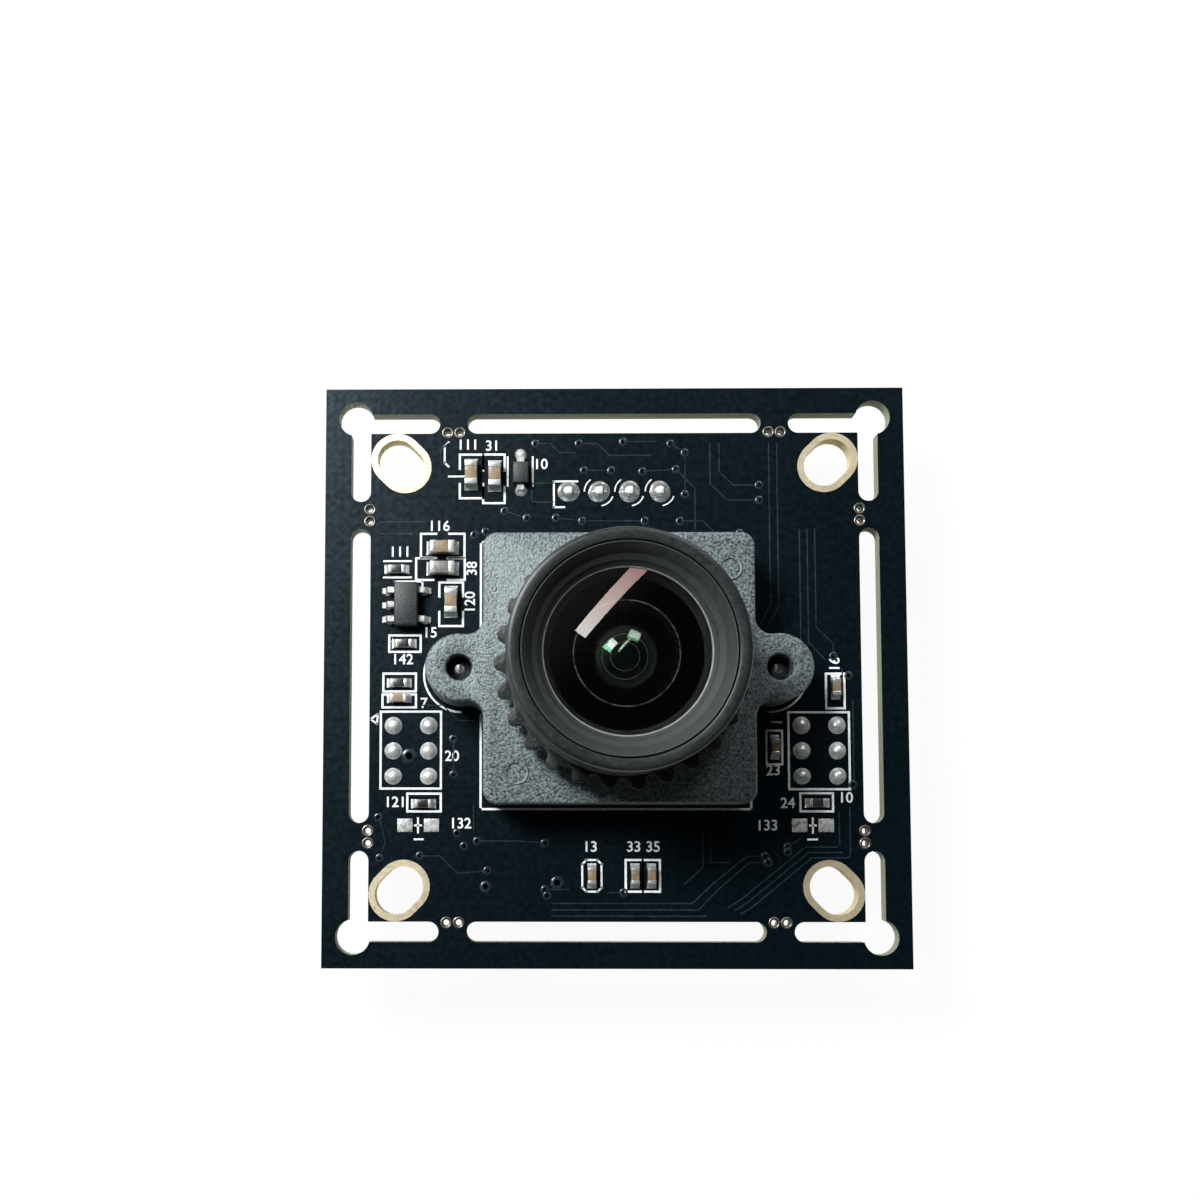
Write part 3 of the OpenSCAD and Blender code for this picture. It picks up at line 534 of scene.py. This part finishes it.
# The ground ring at the hollow's edge is pale like ground glass, and it glows faintly as a painted highlight.
paint_faces(front, painted_glow_ring, lambda middle, normal: hollow_r - 0.01 < middle.xy.length < seat_r and
            middle.z < low + 0.02)
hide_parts("front_glass")
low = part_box("second_glass")[0].z / MM
shoulder_h = 1.2
dome_r = 3.45
# Two thin rings on the back face of the second glass glow faintly: painted highlights.
inner_glow_ring, outer_glow_ring = (1.0, 1.04), (1.58, 1.62)
second = turn("second_lens", [
    (0, low), *[(r, low) for r in inner_glow_ring + outer_glow_ring], (4.3, low), (4.35, low + 0.05),
    (4.35, low + shoulder_h - 0.05), (4.3, low + shoulder_h),
    *reversed(arc(dome_r, low + shoulder_h, 0.7))], 96, 30)
wear(second, inner_glass, "lens")
paint_faces(second, edge_black, lambda middle, normal: middle.xy.length > dome_r or
            middle.z < low + 0.01 and middle.xy.length > outer_glow_ring[1])
# Painted highlight: the two thin rings on the back face glow.
paint_faces(second, painted_glow_ring, lambda middle, normal: middle.z < low + 0.01 and
            any(inner < middle.xy.length < outer for inner, outer in (inner_glow_ring, outer_glow_ring)))
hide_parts("second_glass")
dress(inner_glass, "third_glass")
dress(rear_glass, "rear_glass")
baffle = finish("baffle_black", ink(18, 19, 20), ink(28, 29, 30), 3000.0, 0.000004, 0.5, 0.7)
turned_finish(baffle, 0.1, 0.004)
dress(baffle, "lens_spacer", "rear_nut")
blade = finish("stop_metal", ink(84, 98, 88), ink(60, 72, 64), 3000.0, 0.000003, 0.3, 0.45, Metallic=0.6)
turned_finish(blade, 0.15, 0.006)
dress(blade, "aperture_stop")

# ---------------------------------------------------------------- Lock ring
# A moulded nut with 26 lobes to grip. It is screwed down on the holder's collar
# and holds the focus.
ring_plastic = finish("ring_plastic", ink(14, 17, 19), ink(28, 32, 34), 4800.0, 0.00002, 0.34, 0.5)
wear(soften("lock_ring_rounded", "lock_ring", 0.14, 3), ring_plastic, "ring")

# ---------------------------------------------------------------- Wire socket
# A nylon socket on the back face, with four square tinned pins through the
# board. Each is soldered on the front in a shiny cone.
nylon = finish("natural_nylon", ink(226, 220, 202), ink(212, 205, 184), 1400.0, 0.000006, 0.35, 0.5,
               Subsurface_Weight=0.1, Subsurface_Scale=0.0006)
wear(soften("socket_rounded", "socket_housing", 0.1), nylon)
bright_tin = finish("bright_tin", ink(232, 232, 228), ink(186, 188, 186), 4200.0, 0.00001, 0.2, 0.4,
                    Metallic=0.75)
pin_tin = finish("pin_tin", ink(250, 250, 247), ink(222, 224, 222), 4200.0, 0.00001, 0.2, 0.36, Metallic=0.3)
wear(soften("pins_rounded", "socket_pins", 0.1), pin_tin)
wet_solder = finish("wet_solder", ink(246, 247, 245), ink(196, 199, 200), 3000.0, 0.00004, 0.16, 0.3,
                    Metallic=0.9)
joint = turn("joint", [(0, 0.33), (0.26, 0.34), (0.35, 0.3), (0.43, 0.2), (0.53, 0.11), (0.64, 0.05),
                       (0.72, 0.02), (0.75, -0.02), (0, -0.02)], 40, 60)
pin_y = sum(corner.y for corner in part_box("socket_solder")) / 2 / MM
PIN_PLACES = (-3, -1, 1, 3)
joints = repeat("pin_joints", joint, [
    (x, pin_y, top, 37 * i, (1, 0.92, 1)) for i, x in enumerate(PIN_PLACES)])
wear(joints, wet_solder)
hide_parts("socket_solder")

# ---------------------------------------------------------------- Chip parts
# Ceramic chips with plated ends, each held by two solder fillets on its pads. The
# resistors carry a dark film on top.
tan = finish("tan_ceramic", ink(142, 126, 98), ink(116, 101, 76), 3600.0, 0.000005, 0.4, 0.55)
white_ceramic = finish("white_ceramic", ink(205, 203, 196), ink(184, 182, 174), 3600.0, 0.000004, 0.5, 0.6)
film = finish("resistor_film", ink(30, 32, 34), ink(44, 46, 48), 3000.0, 0.000003, 0.25, 0.38)
solder = finish("solder", ink(250, 251, 249), ink(186, 189, 190), 3600.0, 0.00005, 0.26, 0.44, Metallic=0.6)
chip_solder = []
foot_share = 0.3
foot_spread = 1.12


def block(middle, size, rounding, material, segments=2):
    """A small rounded block. Its measures are in metres."""
    clear()
    bpy.ops.mesh.primitive_cube_add(size=1, location=middle, scale=size)
    bpy.ops.object.transform_apply(location=True, rotation=True, scale=True)
    bpy.ops.object.mode_set(mode="EDIT")
    bpy.ops.mesh.select_all(action="SELECT")
    bpy.ops.mesh.bevel(offset=rounding, segments=segments, affect="EDGES")
    bpy.ops.object.mode_set(mode="OBJECT")
    bpy.ops.object.shade_smooth_by_angle(angle=math.radians(60))
    piece = bpy.context.object
    piece.data.materials.append(material)
    return piece


def fillet(x, y, z, angle, width, height, reach):
    """A hollow wedge of solder from a chip's end down to its pad, in mm."""
    curve = [(reach * t, 0, height * (1 - t) ** 2.2) for t in (0, 0.2, 0.4, 0.6, 0.8, 1)]
    piece = trail([(-0.12, 0, -0.02), (-0.12, 0, height), *curve, (reach + 0.06, 0, -0.02)])
    bpy.ops.object.transform_apply(location=True, rotation=True, scale=True)
    bpy.ops.object.mode_set(mode="EDIT")
    bpy.ops.mesh.select_all(action="SELECT")
    bpy.ops.mesh.edge_face_add()
    bpy.ops.transform.translate(value=(0, -width * MM / 2, 0))
    bpy.ops.mesh.extrude_region_move(TRANSFORM_OT_translate={"value": (0, width * MM, 0)})
    bpy.ops.mesh.select_all(action="SELECT")
    bpy.ops.mesh.normals_make_consistent(inside=False)
    bpy.ops.mesh.select_all(action="DESELECT")
    bpy.ops.object.mode_set(mode="OBJECT")
    bpy.ops.object.shade_smooth_by_angle(angle=math.radians(40))
    for point in piece.data.vertices:
        point.select = point.co.z < foot_share * height * MM
    bpy.ops.object.mode_set(mode="EDIT")
    bpy.ops.transform.resize(value=(1, foot_spread, 1), center_override=(0, 0, 0))
    bpy.ops.object.mode_set(mode="OBJECT")
    piece.rotation_euler.z = math.radians(angle)
    piece.location = (x * MM, y * MM, z * MM)
    return piece


def chip(node, end_share, body, cap=None, behind=False):
    """A chip part that stands for its CAD node, with its two fillets."""
    low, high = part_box(node)
    size, middle = high - low, (low + high) / 2
    way = 0 if size.x > size.y else 1
    end = size[way] * end_share
    core, tip = Vector(size), Vector(size)
    core[way] -= end * 1.2
    for other in {0, 1, 2} - {way}:
        core[other] -= 0.03 * MM
    tip[way] = end
    parts = [block(middle, core, 0.03 * MM, body)]
    if cap:
        lid = Vector(core)
        lid.z = core.z * 0.25
        lid[1 - way] *= 0.96
        parts.append(block(middle + Vector((0, 0, (core.z - lid.z) / 2 + 0.012 * MM)), lid, 0.01 * MM, cap))
    for side in (-1, 1):
        at = Vector(middle)
        at[way] += side * (size[way] - end) / 2
        parts.append(block(at, tip, 0.055 * MM, bright_tin, 3))
        spot = Vector(middle)
        spot[way] += side * (size[way] / 2 - 0.01 * MM)
        angle = {(0, 1): 0, (0, -1): 180, (1, 1): 90, (1, -1): -90}[(way, side)]
        base = high.z if behind else low.z
        wedge = fillet(spot.x / MM, spot.y / MM, base / MM, angle, size[1 - way] / MM * 0.96,
                       size.z / MM * 0.62, 0.26)
        if behind:
            wedge.rotation_euler.x = math.pi
        chip_solder.append(wedge)
    piece = join(node + "_chip", parts)
    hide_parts(node)
    return piece


for i in range(1, 5):
    wear(chip(f"big_capacitor_{i}", 0.26, tan), None)
    wear(chip(f"back_capacitor_{i}", 0.24, tan, behind=True), None)
for i in range(1, 7):
    wear(chip(f"small_capacitor_{i}", 0.26, tan), None)
for i in range(1, 6):
    wear(chip(f"small_resistor_{i}", 0.24, white_ceramic, film), None)
bead_ceramic = finish("bead_ceramic", ink(92, 92, 88), ink(116, 116, 110), 3600.0, 0.000005, 0.35, 0.5)
wear(chip("ferrite_bead", 0.26, bead_ceramic), None)
fillets = join("chip_fillets", chip_solder)
wear(fillets, solder)

# ---------------------------------------------------------------- Regulator and diode
# A five-legged regulator and a two-legged diode: moulded bodies on bent tinned
# legs, soldered to their pads in small blobs.
moulding = finish("moulded_epoxy", ink(26, 30, 32), ink(48, 52, 54), 7000.0, 0.00002, 0.42, 0.56, 0.3,
                  Specular_IOR_Level=0.45)
wear(soften("regulator_moulding", "regulator_body", 0.07), moulding)
wear(soften("diode_moulding", "diode_body", 0.07), moulding)
wear(soften("regulator_leads", "regulator_legs", 0.03, 1), bright_tin)
wear(soften("diode_leads", "diode_legs", 0.03, 1), bright_tin)
blob = turn("blob", [(0, 0.3), (0.14, 0.28), (0.28, 0.2), (0.38, 0.09), (0.44, 0.02), (0.45, -0.02),
                     (0, -0.02)], 32, 60)
regulator_y = sum(corner.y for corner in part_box("regulator_body")) / 2 / MM
leg_pitch = 0.95
leg_blob = (0.85, 0.62, 0.75)
lead_solder = repeat("lead_solder", blob, [
    *[(-14.78, regulator_y + step, top, 30 * step, leg_blob) for step in (-leg_pitch, 0, leg_pitch)],
    *[(-12.42, regulator_y + step, top, 20 * step, leg_blob) for step in (-leg_pitch, leg_pitch)],
    (-6.13, 14.55, top, 20, (0.85, 0.95, 1.0)), (-6.1, 12.15, top, 60, (0.9, 0.9, 1.0))])
wear(lead_solder, solder)

# ---------------------------------------------------------------- Solder bumps and lamp pads
# Bare pads that hold only solder: six round bumps a side where a part was left
# off, and two pairs of square pads for lamps.
bump_r = 0.55
for side in ("left", "right"):
    low, high = (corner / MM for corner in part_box("solder_bumps_" + side))
    span, rise = high.x - low.x - 2 * bump_r, (high.y - low.y) / 2 - bump_r
    bump = turn("bump", [(0, 0.36), (0.12, 0.35), (0.26, 0.3), (0.38, 0.21), (0.46, 0.1), (0.52, 0.035),
                         (0.56, 0.02), (0.58, -0.02), (0, -0.02)], 36, 60)
    bumps = repeat("bumps_" + side, bump, [
        (low.x + bump_r + i * span, low.y + bump_r + j * rise, top, 40 * i + 25 * j, (1, 0.94 + 0.03 * j, 1))
        for i in (0, 1) for j in (0, 1, 2)])
    wear(bumps, solder)
    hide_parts("solder_bumps_" + side)
pad_tin = finish("pad_tin", ink(236, 237, 234), ink(120, 123, 122), 3200.0, 0.00005, 0.2, 0.4, 0.3,
                 Metallic=0.4)
pad_size = Vector((1.0, 0.88, 0.12)) * MM
pad_step = 0.86
pad_y = sum(corner.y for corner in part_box("led_pads")) / 2
pads = []
for pair_x in (-12.78, 12.7):
    for step in (-pad_step, pad_step):
        spot = Vector(((pair_x + step) * MM, pad_y, board_face + 0.03 * MM))
        pads.append(block(spot, pad_size, 0.05 * MM, pad_tin, 4))
pads = join("lamp_pads", pads)
wear(pads, pad_tin)
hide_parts("led_pads")

# ---------------------------------------------------------------- Parts behind the board
# The processor on its lands, a memory chip, the crystal in its can and a
# moulded choke, all reflowed on the back face.
wear(soften("processor_package", "processor_body", 0.08), moulding)
dress(bright_tin, "processor_lands")
wear(soften("memory_package", "memory_body", 0.08), moulding)
wear(soften("memory_leads", "memory_legs", 0.03, 1), bright_tin)
wear(soften("crystal_foot", "crystal_base", 0.06), moulding)
can = finish("drawn_can", ink(196, 197, 196), ink(176, 178, 178), 2600.0, 0.000004, 0.2, 0.34, Metallic=0.95)
wear(soften("crystal_cover", "crystal_can", 0.15, 3), can)
core_grey = finish("ground_ferrite", ink(52, 53, 55), ink(72, 73, 75), 3600.0, 0.000015, 0.5, 0.65)
wear(soften("choke_block", "choke", 0.15), core_grey)

# ---------------------------------------------------------------- Printed marks
# White ink, screen printed on the mask and baked: outlines round the parts, and
# plain numbers beside them.
ink_height = 0.02
line_w = 0.14
strokes = []


def stroke(x0, y0, x1, y1, width=line_w, past=line_w / 2):
    """A straight printed line between two points in mm, which runs past both."""
    length = math.hypot(x1 - x0, y1 - y0) + past * 2
    bpy.ops.mesh.primitive_cube_add(
        size=MM, location=((x0 + x1) / 2 * MM, (y0 + y1) / 2 * MM, (top + ink_height / 2) * MM),
        rotation=(0, 0, math.atan2(y1 - y0, x1 - x0)), scale=(length, width, ink_height))
    strokes.append(bpy.context.object)


def frame_line(x0, y0, x1, y1, gap=0.0, upright=True):
    """A printed box, with a gap in the middle of two opposite sides."""
    if upright:
        stroke(x0, y0, x1, y0)
        stroke(x0, y1, x1, y1)
        half, rest = (y0 + y1) / 2, (y1 - y0) * gap / 2
        y0, y1 = y0 + line_w / 2, y1 - line_w / 2
        for x in (x0, x1):
            for a, b in ((y0, half - rest), (half + rest, y1)) if gap else ((y0, y1),):
                stroke(x, a, x, b, past=0)
    else:
        stroke(x0, y0, x0, y1)
        stroke(x1, y0, x1, y1)
        half, rest = (x0 + x1) / 2, (x1 - x0) * gap / 2
        x0, x1 = x0 + line_w / 2, x1 - line_w / 2
        for y in (y0, y1):
            for a, b in ((x0, half - rest), (half + rest, x1)):
                stroke(a, y, b, y, past=0)


def bow(x, y, r, start, end, width):
    """A printed arc between two angles in degrees."""
    count = max(2, round(abs(end - start) / 9))
    turns = [math.radians(start + (end - start) * i / count) for i in range(count + 1)]
    for a, b in zip(turns, turns[1:]):
        stroke(x + r * math.cos(a), y + r * math.sin(a), x + r * math.cos(b), y + r * math.sin(b), width,
               past=0.004)


for box in ((-10.15, 11.67, -8.61, 14.59), (-8.61, 11.34, -7.2, 14.59), (-11.47, 3.2, -9.92, 6.08)):
    frame_line(*box, 0.3)
for box in ((-12.69, 7.72, -9.83, 9.31), (-13.0, 6.25, -9.81, 7.69)):
    frame_line(*box, 0.25, False)
for box in ((-14.73, 1.51, -12.68, 2.59), (-15.1, -1.09, -12.98, 0.08), (-15.15, -2.13, -12.97, -1.29),
            (-15.25, -7.42, -11.33, -2.41), (-13.5, -8.9, -11.33, -7.75), (0.62, -14.06, 1.72, -12.03),
            (1.72, -14.06, 2.82, -12.03), (13.68, -2.21, 14.87, 0.05), (11.21, -7.46, 15.13, -2.47),
            (9.78, -5.85, 10.79, -3.66), (11.92, -8.89, 14.02, -7.72)):
    frame_line(*box)
for x0, y0, x1, y1 in (
        (-15.1, 7.5, -13.35, 7.5), (-15.1, 6.42, -13.35, 6.42), (-14.38, 5.36, -14.38, 6.15),
        (-14.38, 6.15, -12.58, 6.15), (-12.58, 6.15, -12.58, 5.36), (-2.18, -13.8, -2.18, -12.3),
        (-0.94, -13.8, -0.94, -12.3), (-1.92, -14.06, -1.2, -14.06), (-1.92, -12.03, -1.2, -12.03),
        (-2.18, -13.8, -1.92, -14.06), (-0.94, -13.8, -1.2, -14.06), (-2.18, -12.3, -1.92, -12.03),
        (-0.94, -12.3, -1.2, -12.03), (-7.0, 12.5, -7.0, 14.4), (-5.35, 12.5, -5.35, 14.4),
        (-15.92, -2.9, -15.45, -2.58), (-15.45, -2.58, -15.5, -3.2), (-15.5, -3.2, -15.92, -2.9),
        (-12.8, -10.25, -12.8, -9.35), (-12.98, -9.8, -12.62, -9.8), (-13.0, -10.7, -12.5, -10.7),
        (12.7, -10.25, 12.7, -9.35), (12.52, -9.8, 12.88, -9.8), (12.4, -10.7, 12.95, -10.7),
        (-3.96, 11.06, -3.96, 12.78), (-3.96, 12.78, -2.43, 12.78), (-3.96, 11.06, -3.3, 11.06),
        (-11.15, 14.05, -11.15, 15.15), (-11.15, 15.15, -10.9, 15.4),
        (-11.15, 14.05, -10.9, 13.8), (-10.86, 13.13, -9.8, 13.13)):
    stroke(x0, y0, x1, y1, 0.12)
for x in PIN_PLACES[1:]:
    for start, end in ((-80, -20), (125, 180)):
        bow(x, pin_y, 0.96, start, end, 0.08)
outline_at = 8.75
ear_at, ear_line_r = 10, 2.45
for side in (-1, 1):
    stroke(side * outline_at, 2.6, side * outline_at, outline_at)
    stroke(side * outline_at, -outline_at, side * outline_at, -2.6)
    stroke(-outline_at, side * outline_at, outline_at, side * outline_at)
for side, start, end in ((-1, 90, 270), (1, 80, -90)):
    bow(side * ear_at, 0, ear_line_r, start, end, 0.13)
NUMBERS = [
    ("116", -11.5, 9.8, 0), ("111", -14.06, 8.09, 0), ("38", -9.32, 7.0, 90), ("120", -9.44, 4.77, 90),
    ("15", -12.06, 2.75, 0), ("142", -13.86, 0.99, 0), ("7", -12.45, -1.88, 0), ("20", -10.61, -5.33, 0),
    ("121", -14.28, -8.32, 0), ("132", -10.05, -9.7, 0), ("111", -9.62, 15.22, 0), ("31", -8.0, 15.15, 0),
    ("10", -4.83, 13.91, 0), ("16", 14.28, 0.66, 90), ("1", 10.46, -3.11, 90), ("23", 10.2, -6.26, 0),
    ("24", 11.1, -8.38, 0), ("10", 14.84, -8.03, 0), ("133", 9.75, -9.82, 0), ("13", -1.66, -11.2, 0),
    ("33", 1.15, -11.2, 0), ("35", 2.4, -11.2, 0)]
for word, x, y, angle in NUMBERS:
    clear()
    bpy.ops.object.text_add(location=(x * MM, y * MM, (top + ink_height / 2) * MM),
                            rotation=(0, 0, math.radians(angle)))
    label = bpy.context.object
    label.data.body = word
    label.data.size = 0.96 * MM
    label.data.align_x = label.data.align_y = "CENTER"
    label.data.extrude = ink_height / 2 * MM
    label.data.resolution_u = 4
    label.data.offset = 0.012 * MM
    bpy.ops.object.convert(target="MESH")
    strokes.append(bpy.context.object)
silk = join("printed_marks", strokes)
white_ink = finish("white_ink", ink(242, 244, 244), ink(204, 209, 211), 5200.0, 0.000006, 0.5, 0.65)
wear(silk, white_ink)

# ---------------------------------------------------------------- Floor, lamps and camera
# A pale floor under the board, a soft key lamp from the upper left, a weak fill
# lamp, a long strip lamp that shows in the front glass alone, and a surround.
floor_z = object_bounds()[0][2] - 0.1 * MM
clear()
bpy.ops.mesh.primitive_plane_add(size=3, location=(0, 0, floor_z))
floor = bpy.context.object
floor.name = "floor"
pale = bpy.data.materials.new("pale_floor")
pale.use_nodes = True
tree = pale.node_tree
shader = tree.nodes["Principled BSDF"]
shader.inputs["Base Color"].default_value = (0.92, 0.92, 0.915, 1)
shader.inputs["Roughness"].default_value = 0.9
rays = put(tree, "ShaderNodeLightPath", {})
seen = put(tree, "ShaderNodeMath", {0: rays.outputs["Is Camera Ray"], 1: rays.outputs["Is Glossy Ray"]},
           operation="ADD")
seen = put(tree, "ShaderNodeMath", {0: seen.outputs[0], 1: rays.outputs["Is Transmission Ray"]},
           operation="ADD", use_clamp=True)
share = put(tree, "ShaderNodeMath", {0: seen.outputs[0], 1: 0.94}, operation="MULTIPLY")
glow = put(tree, "ShaderNodeEmission", {"Color": (1, 1, 0.995, 1), "Strength": 1.0})
both = put(tree, "ShaderNodeMixShader", {0: share.outputs[0], 1: shader.outputs[0], 2: glow.outputs[0]})
tree.links.new(both.outputs[0], tree.nodes["Material Output"].inputs["Surface"])
floor.data.materials.append(pale)

world = bpy.data.worlds.new("surround")
bpy.context.scene.world = world
world.use_nodes = True
tree = world.node_tree
sky = tree.nodes["Background"]
way = put(tree, "ShaderNodeSeparateXYZ", {0: put(tree, "ShaderNodeTexCoord", {}).outputs["Generated"]})
dim = put(tree, "ShaderNodeMapRange", {
    "Value": way.outputs[2], "From Min": 0.0, "From Max": 0.75, "To Min": 0.2, "To Max": 0.02})
lean = put(tree, "ShaderNodeMath", {0: way.outputs[1], 1: way.outputs[0]}, operation="SUBTRACT")
glare = put(tree, "ShaderNodeMapRange", {
    "Value": lean.outputs[0], "From Min": 0.2, "From Max": 0.9, "To Min": 0.0, "To Max": 0.15})
level = put(tree, "ShaderNodeMath", {0: dim.outputs[0], 1: glare.outputs[0]}, operation="ADD")
rays = put(tree, "ShaderNodeLightPath", {})
level = put(tree, "ShaderNodeMix", {"Factor": rays.outputs["Is Camera Ray"], 2: level.outputs[0], 3: 1.0})
tree.links.new(level.outputs[0], sky.inputs["Strength"])
sky.inputs["Color"].default_value = (1, 1, 1, 1)


def lamp(name, place, aim, size, power):
    """A rectangular lamp that faces a point."""
    bpy.ops.object.light_add(type="AREA", location=place)
    piece = bpy.context.object
    piece.name = name
    piece.data.shape = "RECTANGLE"
    piece.data.size, piece.data.size_y = size
    piece.data.energy = power
    piece.rotation_euler = (Vector(place) - Vector(aim)).to_track_quat("Z", "Y").to_euler()
    return piece


lamp("key_lamp", (-0.175, 0.15, 0.295), (0, 0, 0), (0.12, 0.12), 2.2)
lamp("fill_lamp", (0.1, 0.22, 0.2), (0, 0, 0), (0.12, 0.12), 0.24)
strip_from, strip_to = Vector((-0.057, 0.063, 0.288)), Vector((0.064, 0.186, 0.228))
strip_aim = Vector((0, 0, 0.01))
along = strip_to - strip_from
strip = lamp("strip_lamp", (strip_from + strip_to) / 2, strip_aim, (along.length, 0.021), 0.115)
facing = (strip.location - strip_aim).normalized()
along = (along - facing * along.dot(facing)).normalized()
side = facing.cross(along)
strip.rotation_euler = Matrix((along, side, facing)).transposed().to_euler()
strip.data.use_nodes = True
tree = strip.data.node_tree
across = put(tree, "ShaderNodeSeparateXYZ", {0: put(tree, "ShaderNodeNewGeometry", {}).outputs["Parametric"]})
fade = put(tree, "ShaderNodeValToRGB", {"Fac": across.outputs[0]})
fade.color_ramp.elements[0].color = (0.95, 1, 1, 1)
fade.color_ramp.elements.new(0.4).color = (0.72, 0.6, 0.59, 1)
fade.color_ramp.elements[2].color = (0.3, 0.1, 0.1, 1)
tree.links.new(fade.outputs[0], tree.nodes["Emission"].inputs["Color"])
lit = bpy.data.collections.new("lit_by_strip")
lit.objects.link(front)
strip.light_linking.receiver_collection = lit

bpy.ops.object.camera_add(location=(-0.006, -0.011, 0.0962),
                          rotation=[math.radians(a) for a in (4.106, 0.741, 0.03)])
camera = bpy.context.object
camera.data.lens = 43.98
camera.data.sensor_width = 36
camera.data.shift_x = 0.080
camera.data.shift_y = 0.1156
camera.data.clip_start = 0.005
bpy.context.scene.camera = camera
bpy.context.scene.view_settings.view_transform = "Standard"
